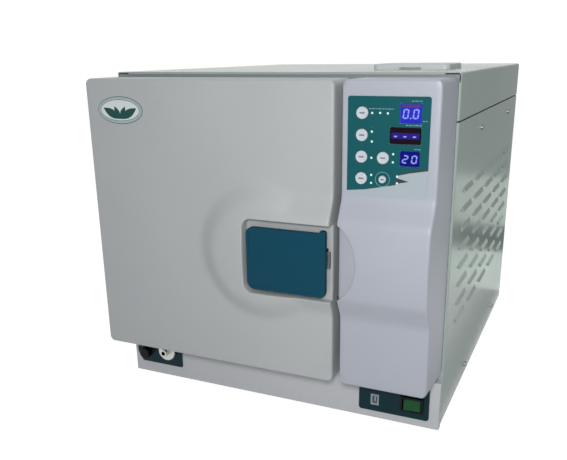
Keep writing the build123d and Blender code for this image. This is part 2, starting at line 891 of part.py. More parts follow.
def make_handle():
    """Pull plate with a raised tip at its upper right and a barrel between the door's two lugs."""
    middle = Pos((handle_left + handle_right) / 2, (handle_low + handle_high) / 2)
    outline = middle * RectangleRounded(handle_width, handle_height, handle_corner)
    plate = plate_y(outline, -handle_front, handle_back)
    plate = fillet(plate.edges().group_by(Axis.Y)[0], 1.5)
    ear = plate_y(Pos(handle_right - 4, handle_high - 4) * RectangleRounded(8, 15, 3.5),
                  -handle_front + 0.5, handle_back)
    barrel_low = lug_low_z + pin_lug + pin_lug_gap
    barrel_high = lug_high_z - pin_lug - pin_lug_gap
    barrel = rod_z(handle_pin_x, handle_pin_y, barrel_low, barrel_high, handle_barrel_r)
    bore = rod_z(handle_pin_x, handle_pin_y, barrel_low - 1, barrel_high + 1, handle_pin_r + running_gap)
    inset = 2 * handle_rim_inset
    rim = RectangleRounded(handle_width - inset, handle_height - inset, handle_corner - handle_rim_inset)
    inset += 2 * handle_rim
    rim -= RectangleRounded(handle_width - inset, handle_height - inset,
                            handle_corner - handle_rim_inset - handle_rim)
    groove = plate_y(middle * rim, -handle_front - 1, -handle_front + handle_rim_rise)
    return joined([plate, ear, barrel]) - [bore, groove]


def make_handle_pin():
    return rod_z(handle_pin_x, handle_pin_y, lug_low_z, lug_high_z, handle_pin_r)


def make_latch_hook():
    back = handle_back
    low, high = hook_low + 1, hook_high - 1
    flange = block(hook_web_x - 12, handle_right + hook_reach, back, back + hook_steel, hook_low, hook_high)
    web = block(hook_web_x, hook_web_x + hook_steel, back, hook_tip_y, low, high)
    nose = block(hook_web_x - hook_nose, hook_web_x, hook_tip_y - 4, hook_tip_y, low, high)
    screw = rod_y(handle_right + hook_reach / 2, back - 0.8, back, hook_low + 4, 1.8)
    return joined([flange, web, nose, screw])


def make_keeper():
    """Keeper bracket on the bulkhead: two arms that hold an upright stud beside the hook."""
    low, high = hook_low - 4, hook_high + 4
    x0, x1 = keeper_x - keeper_width / 2, keeper_x + keeper_r - 1
    front = keeper_y - keeper_r - 1
    base = block(x0, x1 + 10, bulkhead_y - keeper_plate, bulkhead_y, low - 8, high + 8)
    arms = [block(x0, x1, front, bulkhead_y, z0, z0 + 4) for z0 in (low - 4, high)]
    spine = block(x0, x0 + 3, front, bulkhead_y, low - 4, high + 4)
    stud = rod_z(keeper_x, keeper_y, low - 2, high + 2, keeper_r)
    return joined([base, spine, stud] + arms)


# Control housing


def right_side(y, inset=0.0):
    """X of the housing's leaning right side at y, or of a line that far inside it."""
    return housing_right - inset - housing_draft * (housing_back - y) / (housing_back - door_face)


def leaning_block(x0, inset, y0, y1, z0, z1):
    """Box from x0 to the housing's leaning right side."""
    outline = Polyline((x0, y0), (right_side(y0, inset), y0), (right_side(y1, inset), y1), (x0, y1),
                       close=True)
    return extrude(Plane.XY.offset(z0) * make_face(outline), amount=z1 - z0)


def corner_edges(shape):
    """The four edges that run from front to back."""
    edges = [edge for edge in shape.edges() if abs((edge % 0.5).Y) > 0.9]
    return ShapeList(edges)


def make_control_housing():
    section = leaning_block(housing_left, 0, door_face, housing_back, housing_z, housing_top)
    section = fillet(corner_edges(section), door_round)
    section = fillet(section.edges().group_by(Axis.Y)[0], edge_round)
    belt = prism_x(belt_section(door_face, door_face + belt_sink), housing_left, housing_right)
    belt &= leaning_block(housing_left, 0, crest_y - 5, door_face + belt_sink + 1,
                          belt_low_z - 1, belt_high_z + 1)
    belt = fillet(belt_end(belt, -1), belt_round)
    belt = fillet(belt_end(belt, 0), belt_round)
    shell = joined([section, belt])
    left = housing_left + housing_wall
    cavity = leaning_block(left, housing_wall, skin_y, housing_back + 1,
                           housing_z + housing_wall, housing_top - housing_wall)
    cavity = fillet(corner_edges(cavity), door_round - housing_wall)
    belt_hollow = block(housing_left + belt_wall, right_side(crest_y, belt_wall), door_face - 5, skin_y + 1,
                        belt_heel_z, belt_shoulder_z - 4)
    shell -= [cavity, belt_hollow, make_scoop()]
    bosses = [rod_y(x, skin_y - 0.5, bulkhead_y, z, boss_r)
              for x in (housing_left + 14, housing_right - 25) for z in (housing_z + 16, housing_top - 9)]
    posts = [rod_y(x, skin_y - 0.5, board_y, z, 3.5) for x, z in board_posts()]
    shell = joined([shell] + bosses + posts)
    holes = [rod_y(x, door_face - 1, skin_y + 1, z, r + key_gap) for x, z, r in key_places()]
    lamps = [rod_y(x, door_face - 1, skin_y + 1, z, lamp_r) for x, z in lamp_places()]
    windows = window_blocks(door_face - 1, skin_y + 1)
    bolt_hole = rod_x(housing_left - 1, left + 1, bolt_y, bolt_z, bolt_r + 0.3)
    return shell - holes - lamps - windows - bolt_hole


def make_scoop():
    """The finger scoop: a round cut with a floor that leans to the door."""
    round_cut = rod_y(scoop_x, crest_y - 5, door_face + 5, scoop_z, scoop_r)
    edge_y = door_face - scoop_depth
    x0, x1 = housing_left - 5, scoop_x + scoop_r + 5
    y0, y1 = [edge_y - scoop_slope * (x - housing_left) for x in (x0, x1)]
    outline = Polyline((x0, crest_y - 10), (x1, crest_y - 10), (x1, y1), (x0, y0), close=True)
    low = scoop_z - scoop_r - 5
    wedge = extrude(Plane.XY.offset(low) * make_face(outline), amount=2 * scoop_r + 10)
    return round_cut & wedge


def board_posts():
    return [(x, z) for x in (keypad_left + 3.5, keypad_right - 3.5)
            for z in (keypad_low + 3, keypad_high - 3)]


def key_places():
    """X, Z and radius of each key, top to bottom and left to right."""
    keys = [(25.5, 37.4, key_r), (25.5, 62.8, key_r), (25.5, 88.1, key_r), (25.7, 113.6, key_r),
            (51.7, 88.4, key_r), (51.8, 113.6, start_key_r)]
    return [(housing_left + x, housing_top - drop, r) for x, drop, r in keys]


def lamp_places():
    lamps = [(37.3, 37.4), (46.8, 37.2), (55.9, 37.5), (37.4, 58.6), (37.7, 70.0), (37.6, 88.9),
             (63.8, 83.5), (63.7, 92.9), (37.9, 109.1), (38.0, 118.6), (69.4, 109.1), (69.5, 117.1)]
    return [(housing_left + x, housing_top - drop) for x, drop in lamps]


def window_blocks(y0, y1):
    """Blocks the size of the three display windows, from y0 back to y1."""
    windows = [(70.4, 95.4, 25.6, 48.6), (58.8, 95.6, 52.7, 72.0), (71.7, 95.0, 79.4, 97.2)]
    return [block(housing_left + left, housing_left + right, y0, y1, housing_top - low, housing_top - high)
            for left, right, high, low in windows]


def make_keypad():
    middle = Pos((keypad_left + keypad_right) / 2, (keypad_low + keypad_high) / 2)
    sheet_outline = middle * RectangleRounded(keypad_width, keypad_height, 3)
    pad = plate_y(sheet_outline, door_face - keypad_sheet, door_face)
    holes = [rod_y(x, door_face - 2, door_face + 1, z, r + key_gap) for x, z, r in key_places()]
    lamps = [rod_y(x, door_face - 2, door_face + 1, z, lamp_r) for x, z in lamp_places()]
    return pad - holes - lamps - window_blocks(door_face - 2, door_face + 1)


def make_windows():
    front = door_face - keypad_sheet + 0.1
    return group(window_blocks(front, front + window_depth))


def make_lamps():
    front = door_face - keypad_sheet - 0.2
    lamps = []
    for x, z in lamp_places():
        body = rod_y(x, front, front + window_depth, z, lamp_r)
        lamps.append(fillet(body.edges().group_by(Axis.Y)[0], 0.4))
    return group(lamps)


def make_key(x, z, r):
    front = door_face - key_proud
    cap = rod_y(x, front, skin_y + key_flange + 0.3, z, r)
    cap = fillet(cap.edges().group_by(Axis.Y)[0], 0.8)
    retainer = rod_y(x, skin_y + 0.3, skin_y + 0.3 + key_flange, z, r + 1.2)
    stem = rod_y(x, skin_y + 0.3, board_y - switch_body - key_travel - 0.1, z, key_stem_r)
    return joined([cap, retainer, stem])


def make_control_board():
    board = block(keypad_left - 1, keypad_right + 1, board_y, board_y + board_thick,
                  keypad_low - 3, keypad_high + 2)
    switches = [block(x - 3, x + 3, board_y - switch_body, board_y, z - 3, z + 3)
                for x, z, r in key_places()]
    back = board_y + board_thick
    chips = [(15, 37, 6, 36, 12), (50, 80, 56, 86, 4), (10, 25, 96, 111, 9)]
    parts = [block(keypad_left + left, keypad_left + right, back, back + depth,
                   keypad_low + low, keypad_low + high) for left, right, low, high, depth in chips]
    parts.append(rod_y(keypad_right - 7, back, back + 16, keypad_low + 16, 6))
    return joined([board] + switches + window_blocks(skin_y + 1.5, board_y) + parts)


def make_lock_body():
    """Solenoid that drives the lock bolt, on a foot that stands on the housing's wall."""
    x0 = housing_left + housing_wall
    x1 = x0 + bolt_body
    y0, y1 = bolt_y - bolt_half, bolt_y + bolt_half
    z0, z1 = bolt_z - 16, bolt_z + 16
    coil = rod_x(x0 + bolt_cheek, x1, bolt_y, bolt_z, bolt_coil_r)
    cheek = block(x0, x0 + bolt_cheek, y0, y1, z0, z1)
    end = block(x1, x1 + 3, y0, y1, z0, z1)
    yoke = block(x0, x1 + 3, y1, y1 + 2, z0, z1)
    bore = rod_x(x0 - 1, x1 + 4, bolt_y, bolt_z, bolt_r + running_gap)
    return joined([coil, cheek, end, yoke]) - bore


def make_lock_bolt():
    x0 = housing_left + 0.2
    x1 = housing_left + housing_wall + bolt_body + 3
    rod = rod_x(x0, x1 + bolt_travel + 2, bolt_y, bolt_z, bolt_r)
    rod = fillet(rod.edges().group_by(Axis.X)[0], 1.2)
    head = rod_x(x1 + bolt_travel + 0.6, x1 + bolt_travel + 4, bolt_y, bolt_z, bolt_r + 4)
    return rod + head


# Service plates at the foot of the cabinet


def make_drain_plate():
    outline = Polyline((drain_left, drain_high), (drain_left, drain_low + drain_cut),
                       (drain_left + drain_cut * 0.6, drain_low), (drain_right, drain_low),
                       (drain_right, drain_high), close=True)
    plate = plate_y(make_face(outline), plate_face, kick_front)
    plate = fillet(plate.edges().filter_by(Axis.Y), 2)
    spindle_hole = rod_y(knob_x, kick_front - 5, kick_front + 1, knob_z, knob_spindle_r + 0.5)
    coupling_hole = rod_y(coupling_x, kick_front - 5, kick_front + 1, coupling_z, coupling_spout_r + 3)
    return plate - [spindle_hole, coupling_hole]


def make_drain_knob():
    front = plate_face - 1 - knob_length
    grip = rod_y(knob_x, front, front + knob_length, knob_z, knob_r)
    grip = fillet(grip.edges().group_by(Axis.Y)[0], 1.5)
    flutes = [rod_y(knob_x + (knob_r + 1.2) * cos(a), front - 1, front + knob_length - 4,
                    knob_z + (knob_r + 1.2) * sin(a), 2.2)
              for a in [radians(45 * i + 10) for i in range(8)]]
    spindle = rod_y(knob_x, front + knob_length, kick_front + sheet + 8, knob_z, knob_spindle_r)
    return grip - flutes + spindle


def make_drain_coupling():
    """Coupling nut, its spout, the tail back to the used water tank and the body that the knob turns in."""
    nut = rod_y(coupling_x, plate_face - coupling_nut, plate_face, coupling_z, coupling_r)
    nut = fillet(nut.edges().group_by(Axis.Y)[0], 2)
    flat = block(-coupling_r, coupling_r, plate_face - coupling_nut + 2.2, plate_face - 1,
                 coupling_r - 1.2, coupling_r + 3)
    flats = [Pos(coupling_x, 0, coupling_z) * Rot(0, 60 * i, 0) * flat for i in range(6)]
    tip = plate_face - coupling_nut - coupling_spout
    spout = rod_y(coupling_x, tip, plate_face, coupling_z, coupling_spout_r)
    tail = rod_y(coupling_x, plate_face, used_front, coupling_z, coupling_spout_r + 1)
    valve_front = kick_front + sheet
    valve = block(knob_x - 9, knob_x + 9, valve_front, valve_front + 10, knob_z - 10, knob_z + 10)
    bridge = block(knob_x, coupling_x, valve_front + 1, valve_front + 9, coupling_z - 5, coupling_z + 5)
    seat = rod_y(knob_x, valve_front - 1, valve_front + 8.5, knob_z, knob_spindle_r + running_gap)
    bore = rod_y(coupling_x, tip - 1, used_front + 1, coupling_z, coupling_bore_r)
    return joined([nut - flats, spout, tail, valve, bridge]) - [bore, seat]


def make_switch_plate():
    middle = Pos((switch_left + switch_right) / 2, (switch_low + switch_high) / 2)
    outline = middle * RectangleRounded(switch_width, switch_high - switch_low, 4)
    plate = plate_y(outline, plate_face, kick_front)
    return plate - [switch_cut(), port_cut()]


def make_switch_bezel():
    lip = bezel_lip
    wall = lip + well_wall
    front = plate_face - bezel_proud
    back = plate_face + bezel_depth
    frame = block(bezel_left, bezel_right, front, plate_face, bezel_low, bezel_high)
    frame = fillet(frame.edges().group_by(Axis.Y)[0], 0.8)
    body = block(bezel_left + lip, bezel_right - lip, plate_face, back, bezel_low + lip, bezel_high - lip)
    well = block(bezel_left + wall, bezel_right - wall, front - 1, plate_face + 11,
                 bezel_low + wall, bezel_high - wall)
    tabs = [block(x, x + 1, back, back + 8, bezel_low + 5, bezel_low + 10)
            for x in (bezel_left + 8, bezel_left + 15, bezel_left + 22)]
    seat = rod_z(rocker_x, rocker_y, bezel_low + lip, bezel_high - lip, rocker_pivot_r)
    return joined([frame + body - well] + tabs + [seat])


def make_rocker():
    """Rocker pressed in at its right end, on a pivot across its middle."""
    margin = bezel_lip + well_wall + rocker_gap
    reach = bezel_width / 2 - margin - 0.6
    low = bezel_low + margin
    high = bezel_high - margin
    rise = reach * sin(radians(2 * rocker_tilt))
    x, y = rocker_x, rocker_y
    outline = Polyline((x - reach + 1.2, y - 5.5 - rise), (x, y - 6.2), (x + reach, y - 6.2),
                       (x + reach - 1, y + 0.5), (x + 3.4, y + 2.6), (x - 3.4, y + 2.6),
                       (x - reach + 1.5, y - 1.5), close=True)
    body = extrude(Plane.XY.offset(low) * make_face(outline), amount=high - low)
    return body - rod_z(x, y, low - 1, high + 1, rocker_pivot_r + running_gap)


def port_block(inset, y0, y1):
    """Box of the data port's shape, smaller by the inset on every side."""
    return block(port_left + inset, port_right - inset, y0, y1, port_low + inset, port_high - inset)


def make_data_port():
    frame = port_block(0.2, plate_face - 1, plate_face + 12)
    flange = port_block(-0.4, plate_face - 1, plate_face)
    cavity = port_block(2, plate_face - 2, plate_face + 8)
    tongue = port_block(4.2, plate_face + 1.5, plate_face + 9)
    return joined([frame, flange]) - cavity + tongue


# Chamber, its jacket and the tray rack


def make_vessel():
    shell = rod_y(chamber_x, rim_front, vessel_end, chamber_z, vessel_r)
    shell = fillet(shell.edges().group_by(Axis.Y)[-1], chamber_corner)
    rim = rod_y(chamber_x, rim_front, bulkhead_y, chamber_z, rim_r)
    hollow = rod_y(chamber_x, rim_front - 20, chamber_back, chamber_z, chamber_r)
    hollow = fillet(hollow.edges().group_by(Axis.Y)[-1], chamber_corner)
    return joined([shell, rim]) - hollow


def make_jacket():
    jacket = rod_y(chamber_x, jacket_start, jacket_back, chamber_z, jacket_r)
    jacket = fillet(jacket.edges().group_by(Axis.Y)[-1], 8)
    hollow = rod_y(chamber_x, jacket_start - 1, vessel_end + jacket_gap, chamber_z, vessel_r + jacket_gap)
    holes = [rod_y(x, vessel_end - 5, jacket_back + 5, z, pipe_hole_r) for x, z in rear_ports()]
    side_hole = rod_x(chamber_x + 60, chamber_x + jacket_r + 5, generator_y, chamber_z, pipe_hole_r)
    return jacket - [hollow, side_hole] - holes


def rear_ports():
    """X and Z of the exhaust port and the safety port in the vessel's rear end."""
    return [(chamber_x - 50, chamber_z - 52), (safety_x, chamber_z + 70)]


def make_cradles():
    left, right = chamber_x - cradle_half, chamber_x + cradle_half
    cradles = []
    for y in cradle_ys:
        back = y + cradle_thick
        web = block(left, right, y, back, floor_z, chamber_z - 95)
        flange = block(left, right, y, y + 14, floor_z, floor_z + cradle_thick)
        window = block(left + 40, right - 40, y - 1, back + 1, floor_z + 20, floor_z + 85)
        saddle = rod_y(chamber_x, y - 1, back + 1, chamber_z, jacket_r + jacket_gap)
        cradles.append(web + flange - saddle - window)
    return group(cradles)


def make_rack():
    top = chamber_z + rack_top
    walls = []
    for side in (-1, 1):
        x0, x1 = sorted((chamber_x + side * rack_x, chamber_x + side * (rack_x + rack_sheet)))
        wall = block(x0, x1, rack_front, rack_back, rack_low, top)
        windows = [block(x0 - 1, x1 + 1, rack_front + 30 + 85 * i, rack_front + 95 + 85 * i,
                         chamber_z + level + 4, chamber_z + level + 32)
                   for i in range(4) for level in tray_levels[:2]]
        wall -= windows
        rails = []
        for level in tray_levels:
            z = chamber_z + level
            rails.append(block(*sorted((chamber_x + side * (rack_x - rail), chamber_x + side * rack_x)),
                               rack_front, rack_back, z - rack_sheet, z))
        walls += [wall] + rails
    ties = [rod_x(chamber_x - rack_x, chamber_x + rack_x, y, rack_low + 4, 2)
            for y in (rack_front + 12, rack_back - 12)]
    return joined(walls + ties)


def make_trays():
    trays = []
    front = rack_front + 4
    back = front + tray_length
    column = 0.48 * tray_half
    for level in tray_levels:
        z = chamber_z + level
        tray = block(chamber_x - tray_half, chamber_x + tray_half, front, back, z, z + tray_depth)
        tray = fillet(tray.edges().filter_by(Axis.Z), tray_corner)
        hollow = block(chamber_x - tray_half + tray_sheet, chamber_x + tray_half - tray_sheet,
                       front + tray_sheet, back - tray_sheet, z + tray_sheet, z + tray_depth + 1)
        hollow = fillet(hollow.edges().filter_by(Axis.Z), tray_corner - tray_sheet)
        holes = [rod_z(chamber_x + (i - 1.5) * column, front + 25 + j * tray_hole_step,
                       z - 1, z + tray_sheet + 1, tray_hole_r)
                 for i in range(4) for j in range(9)]
        trays.append(tray - hollow - holes)
    return group(trays)


# Water, steam and air


def neck_outline():
    return (lid_left + neck_inset, lid_right - neck_inset, lid_front + neck_inset, lid_back - neck_inset)


def make_clean_tank():
    """Clean water tank under the roof, with its neck and two shelves out to the right side panel."""
    tank = block(clean_left, clean_right, clean_front, clean_back, clean_low, clean_high)
    tank = fillet(tank.edges().filter_by(Axis.Z), tank_corner)
    hollow = block(clean_left + tank_wall, clean_right - tank_wall, clean_front + tank_wall,
                   clean_back - tank_wall, clean_low + tank_wall, clean_high - tank_wall)
    x0, x1, y0, y1 = neck_outline()
    neck = block(x0, x1, y0, y1, clean_high - 1, roof_z + 1.5)
    mouth = block(x0 + neck_wall, x1 - neck_wall, y0 + neck_wall, y1 - neck_wall, clean_high - 10, roof_z + 5)
    shelves = [block(clean_left + 20, inner_x, y, y + shelf_width, clean_low - tank_wall, clean_low)
               for y in shelf_ys]
    return joined([tank, neck] + shelves) - [hollow, mouth]


def make_used_tank():
    tank = block(used_left, used_right, used_front, used_back, floor_z, used_high)
    tank = fillet(tank.edges().filter_by(Axis.Z), tank_corner)
    hollow = block(used_left + tank_wall, used_right - tank_wall, used_front + tank_wall,
                   used_back - tank_wall, floor_z + tank_wall, used_high - tank_wall)
    outlet = rod_y(coupling_x, used_front - 1, used_front + tank_wall + 1, coupling_z, coupling_bore_r)
    vent = rod_z(used_left + 30, used_back - 30, used_high - tank_wall - 1, used_high + 1, 8)
    return tank - [hollow, outlet, vent]


def make_filler_lid():
    low = roof_z
    lid = block(lid_left, lid_right, lid_front, lid_back, low, low + lid_height)
    lid = fillet(lid.edges().filter_by(Axis.Z), 8)
    lid = fillet(lid.edges().group_by(Axis.Z)[-1], 2)
    hollow = block(lid_left + lid_skin, lid_right - lid_skin, lid_front + lid_skin, lid_back - lid_skin,
                   low - 1, low + lid_height - lid_skin - 0.5)
    hollow = fillet(hollow.edges().filter_by(Axis.Z), 6)
    x0, x1, y0, y1 = neck_outline()
    pad = block(x0, x1, y0, y1, low + 2, low + lid_height - 1)
    middle = (lid_left + lid_right) / 2
    grip = block(middle - 15, middle + 15, lid_front - 1, lid_front + 6, low - 1, low + 2.5)
    ears = []
    for x in lid_ear_places():
        ears.append(rod_x(x, x + lid_ear, lid_hinge_y, lid_hinge_z, lid_hinge_r))
        ears.append(block(x, x + lid_ear, lid_back - lid_skin, lid_hinge_y,
                          lid_hinge_z - 1.4, lid_hinge_z + 1.4))
    bore = rod_x(lid_left, lid_right, lid_hinge_y, lid_hinge_z, lid_pin_r + running_gap)
    return joined([lid - hollow, pad] + ears) - [grip, bore]


def lid_ear_places():
    return (lid_left + lid_ear_inset, lid_right - lid_ear_inset - lid_ear)


def make_lid_hinge():
    """Hinge stand on the roof behind the filler lid, with the pin through its two posts."""
    left, right = lid_ear_places()
    x0 = left - lid_post_gap - lid_post
    x1 = right + lid_ear + lid_post_gap
    base = block(x0, x1 + lid_post, lid_hinge_y + 3, lid_hinge_y + 13, roof_z, roof_z + 1.5)
    pieces = [base, rod_x(x0, x1 + lid_post, lid_hinge_y, lid_hinge_z, lid_pin_r)]
    for x in (x0, x1):
        pieces.append(rod_x(x, x + lid_post, lid_hinge_y, lid_hinge_z, lid_hinge_r))
        pieces.append(block(x, x + lid_post, lid_hinge_y, lid_hinge_y + 6, roof_z, lid_hinge_z + 1.5))
    return joined(pieces)


def make_generator():
    shell = rod_z(generator_x, generator_y, floor_z, generator_top, generator_r)
    shell = fillet(shell.edges().group_by(Axis.Z)[-1], 8)
    flange = rod_z(generator_x, generator_y, floor_z, floor_z + 4, generator_r + 8)
    band = rod_z(generator_x, generator_y, band_low, band_high, generator_r + 2)
    terminals = [rod_x(generator_x - generator_r - 12, generator_x - generator_r, generator_y, z, 3)
                 for z in (band_low + 15, band_high - 15)]
    return joined([shell, flange, band] + terminals)


def make_pump():
    axis_z = floor_z + pump_r + 8
    motor = rod_y(pump_x, pump_front + 40, pump_back, axis_z, pump_r)
    motor = fillet(motor.edges().group_by(Axis.Y)[-1], 6)
    head = block(pump_x - pump_r - 4, pump_x + pump_r + 4, pump_front, pump_front + 40,
                 floor_z + 8, pump_top + 10)
    head = fillet(head.edges().filter_by(Axis.Y), 8)
    feet = [block(pump_x - pump_r + 2, pump_x + pump_r - 2, y, y + 16, floor_z, floor_z + 20)
            for y in (pump_front + 10, pump_back - 30)]
    port = rod_z(pump_x - 20, pump_front + 20, pump_top + 9, pump_top + 22, 7)
    fins = [ring_y(pump_x, pump_front + 60 + 14 * i, pump_front + 63 + 14 * i, axis_z, pump_r - 1, pump_r + 4)
            for i in range(4)]
    return joined([motor, head, port] + feet + fins)


def make_condenser():
    left, right = fan_x - fan_size / 2, fan_x + fan_size / 2
    low, high = fan_z - fan_size / 2, fan_z + fan_size / 2
    pitch = (right - left - 4) / condenser_fins
    fins = [block(left + 2 + pitch * i, left + 3 + pitch * i, condenser_front + 4, fan_front,
                  low + 4, high - 4) for i in range(condenser_fins + 1)]
    tubes = [rod_x(left, right, condenser_front + 20, low + 16 + 22 * i, 5) for i in range(5)]
    plates = [block(left, left + 2, condenser_front, fan_front, low, high),
              block(right - 2, right, condenser_front, fan_front, low, high)]
    caps = [block(left, right, condenser_front, fan_front, z, z + 2) for z in (low, high - 2)]
    return joined(plates + caps + fins + tubes)


def make_fan_housing():
    left, right = fan_x - fan_size / 2, fan_x + fan_size / 2
    low, high = fan_z - fan_size / 2, fan_z + fan_size / 2
    frame = block(left, right, fan_front, back_y, low, high)
    frame = fillet(frame.edges().filter_by(Axis.Y), 4)
    bore = rod_y(fan_x, fan_front - 1, back_y + 1, fan_z, fan_bore_r)
    holes = [rod_y(fan_x + sx * 52.5, fan_front - 1, back_y + 1, fan_z + sz * 52.5, 2.2)
             for sx in (-1, 1) for sz in (-1, 1)]
    spider_hub = rod_y(fan_x, back_y - 5, back_y, fan_z, fan_hub_r)
    arm = block(-3, 3, back_y - 5, back_y, 10, fan_bore_r + 1)
    arms = [Pos(fan_x, 0, fan_z) * Rot(0, 45 + 90 * i, 0) * arm for i in range(4)]
    axle = rod_y(fan_x, fan_front + 10, back_y - 4, fan_z, 3)
    return joined([frame - bore - holes, spider_hub, axle] + arms)


def make_fan_rotor():
    hub = rod_y(fan_x, fan_front + 4, back_y - 7, fan_z, fan_hub_r)
    bore = rod_y(fan_x, fan_front + 9, back_y, fan_z, 3 + running_gap)
    blade_r = fan_bore_r - fan_tip_gap
    blade = Rot(0, 0, 38) * Box(30, 2, blade_r - fan_hub_r + 2)
    middle = (fan_hub_r - 2 + blade_r) / 2
    blades = [Pos(fan_x, fan_front + 17, fan_z) * Rot(0, 360 / fan_blades * i, 0) * Pos(0, 0, middle) * blade
              for i in range(fan_blades)]
    tip = rod_y(fan_x, fan_front + 1, back_y, fan_z, blade_r)
    return (joined([hub] + blades) & tip) - bore


def make_valve_block():
    bar = block(valve_left, valve_right, valve_front, back_y, valve_low, valve_high)
    first, last = valve_left + 22, valve_right - 22
    coils = []
    for x in (first, (first + last) / 2, last):
        coils.append(block(x - coil_half, x + coil_half, valve_front + 2, back_y - 2,
                           valve_high + 4, valve_high + 34))
        coils.append(rod_z(x, back_y - valve_depth / 2, valve_high, valve_high + 42, 6))
    return joined([bar] + coils)


def make_safety_valve():
    """Safety valve through the back panel, with its lift ring outside."""
    body = plate_y(Pos(safety_x, safety_z) * RegularPolygon(safety_r, 6), back_y - safety_body, back_y)
    neck = rod_y(safety_x, back_y - 1, cabinet_depth + 6, safety_z, safety_r - 3)
    cap = rod_y(safety_x, cabinet_depth + 2, cabinet_depth + rear_reach - 4, safety_z, safety_r - 1)
    ear = block(safety_x - 2, safety_x + 2, cabinet_depth + 6, cabinet_depth + rear_reach,
                safety_z - 7, safety_z + 7)
    return joined([body, neck, cap, ear])


def make_pipes():
    (exhaust_x, exhaust_z), (port_x, port_z) = rear_ports()
    valve_z = (valve_low + valve_high) / 2
    side_x = chamber_x + vessel_r + 0.1
    steam = pipe((side_x, generator_y, chamber_z), (generator_x, generator_y, chamber_z),
                 (generator_x, generator_y, generator_top))
    turn_y = (jacket_back + valve_front) / 2
    exhaust = pipe((exhaust_x, vessel_end, exhaust_z), (exhaust_x, turn_y, exhaust_z),
                   (exhaust_x, turn_y, valve_z), (exhaust_x, valve_front, valve_z))
    body_front = back_y - safety_body
    turn_y = (jacket_back + body_front) / 2
    safety = pipe((port_x, vessel_end, port_z), (port_x, turn_y, port_z),
                  (port_x, turn_y, safety_z), (port_x, body_front, safety_z))
    coil_x = fan_x - fan_size / 2
    coil_y = condenser_front + 20
    drop_x = (valve_right + coil_x) / 2
    drop_y = back_y - valve_depth / 2
    drop = pipe((valve_right, drop_y, valve_z), (drop_x, drop_y, valve_z), (drop_x, coil_y, valve_z),
                (drop_x, coil_y, fan_z), (coil_x, coil_y, fan_z))
    pump_y = pump_front + 20
    suction_x = pump_x - 20
    suction = pipe((suction_x, coil_y, fan_z - fan_size / 2), (suction_x, coil_y, suction_z),
                   (suction_x, pump_y, suction_z), (suction_x, pump_y, pump_top + 22))
    feed_x, feed_y = generator_x - feed_shift, generator_y - feed_shift
    feed = pipe((feed_x, feed_y, clean_low), (feed_x, feed_y, generator_top))
    return group([steam, exhaust, safety, drop, suction, feed])


def inlet_block(width, height, y0, y1):
    """Box about the middle line of the power inlet."""
    return block(inlet_x - width / 2, inlet_x + width / 2, y0, y1, inlet_z - height / 2, inlet_z + height / 2)


def make_power_inlet():
    face = cabinet_depth + inlet_flange
    flange = inlet_block(inlet_width, inlet_height, cabinet_depth, face)
    flange = fillet(flange.edges().filter_by(Axis.Y), 3)
    body = inlet_block(inlet_body_width, inlet_body_height, face - inlet_cavity - 6, cabinet_depth)
    cavity = inlet_block(inlet_body_width - 4, inlet_body_height - 4, face - inlet_cavity, face + 1)
    pins = [block(inlet_x + x - 2, inlet_x + x + 2, face - inlet_cavity - 1, face - 6,
                  inlet_z + z - 1, inlet_z + z + 1)
            for x, z in ((-7, -2), (7, -2), (0, 3))]
    return joined([flange + body - cavity] + pins)


def place(shape):
    """From the cabinet's front edge to the model's origin, under the middle of the whole object."""
    return Pos(0, -origin_y, 0) * shape


def build():
    nodes = {
        "chassis_base": make_chassis_base(),
        "feet": make_feet(),
        "kick_panel": make_kick_panel(),
        "front_bulkhead": make_bulkhead(),
        "top_cover": make_top_cover(),
        "side_panel_left": make_side_panel(-1),
        "side_panel_right": make_side_panel(1),
        "back_panel": make_back_panel(),
        "panel_screws": make_panel_screws(),
        "door_cover": make_door_cover(),
        "door_back_cover": make_back_cover(),
        "badge_plate": make_badge(),
        "pressure_plate": make_pressure_plate(),
        "door_gasket": make_gasket(),
        "door_frame": make_door_frame(),
        "plate_spindle": make_spindle(),
        "hinge_arms": make_hinge_arms(),
        "hinge_brackets": make_hinge_brackets(),
        "door_handle": make_handle(),
        "handle_pin": make_handle_pin(),
        "latch_hook": make_latch_hook(),
        "door_keeper": make_keeper(),
        "lock_body": make_lock_body(),
        "lock_bolt": make_lock_bolt(),
        "control_housing": make_control_housing(),
        "keypad_sheet": make_keypad(),
        "display_windows": make_windows(),
        "indicator_lamps": make_lamps(),
        "control_board": make_control_board(),
        "drain_plate": make_drain_plate(),
        "drain_knob": make_drain_knob(),
        "drain_coupling": make_drain_coupling(),
        "switch_plate": make_switch_plate(),
        "switch_bezel": make_switch_bezel(),
        "power_rocker": make_rocker(),
        "data_port": make_data_port(),
        "chamber_vessel": make_vessel(),
        "insulation_jacket": make_jacket(),
        "chamber_cradles": make_cradles(),
        "tray_rack": make_rack(),
        "trays": make_trays(),
        "clean_tank": make_clean_tank(),
        "used_tank": make_used_tank(),
        "filler_lid": make_filler_lid(),
        "lid_hinge": make_lid_hinge(),
        "steam_generator": make_generator(),
        "vacuum_pump": make_pump(),
        "condenser": make_condenser(),
        "fan_housing": make_fan_housing(),
        "fan_rotor": make_fan_rotor(),
        "valve_block": make_valve_block(),
        "safety_valve": make_safety_valve(),
        "steam_pipes": make_pipes(),
        "power_inlet": make_power_inlet(),
    }
    names = ("key_timer", "key_heat", "key_cycle", "key_stop", "key_set", "key_start")
    for name, key in zip(names, key_places()):
        nodes[name] = make_key(*key)
    return nodes


os.makedirs("parts", exist_ok=True)
for node, shape in build().items():
    export_step(place(shape), f"parts/{node}.step")
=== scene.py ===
"""Looks of the bench-top autoclave: pieces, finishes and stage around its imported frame."""
from math import cos, hypot, pi, radians, sin, sqrt

import bmesh
import bpy
from mathutils import Matrix, Vector


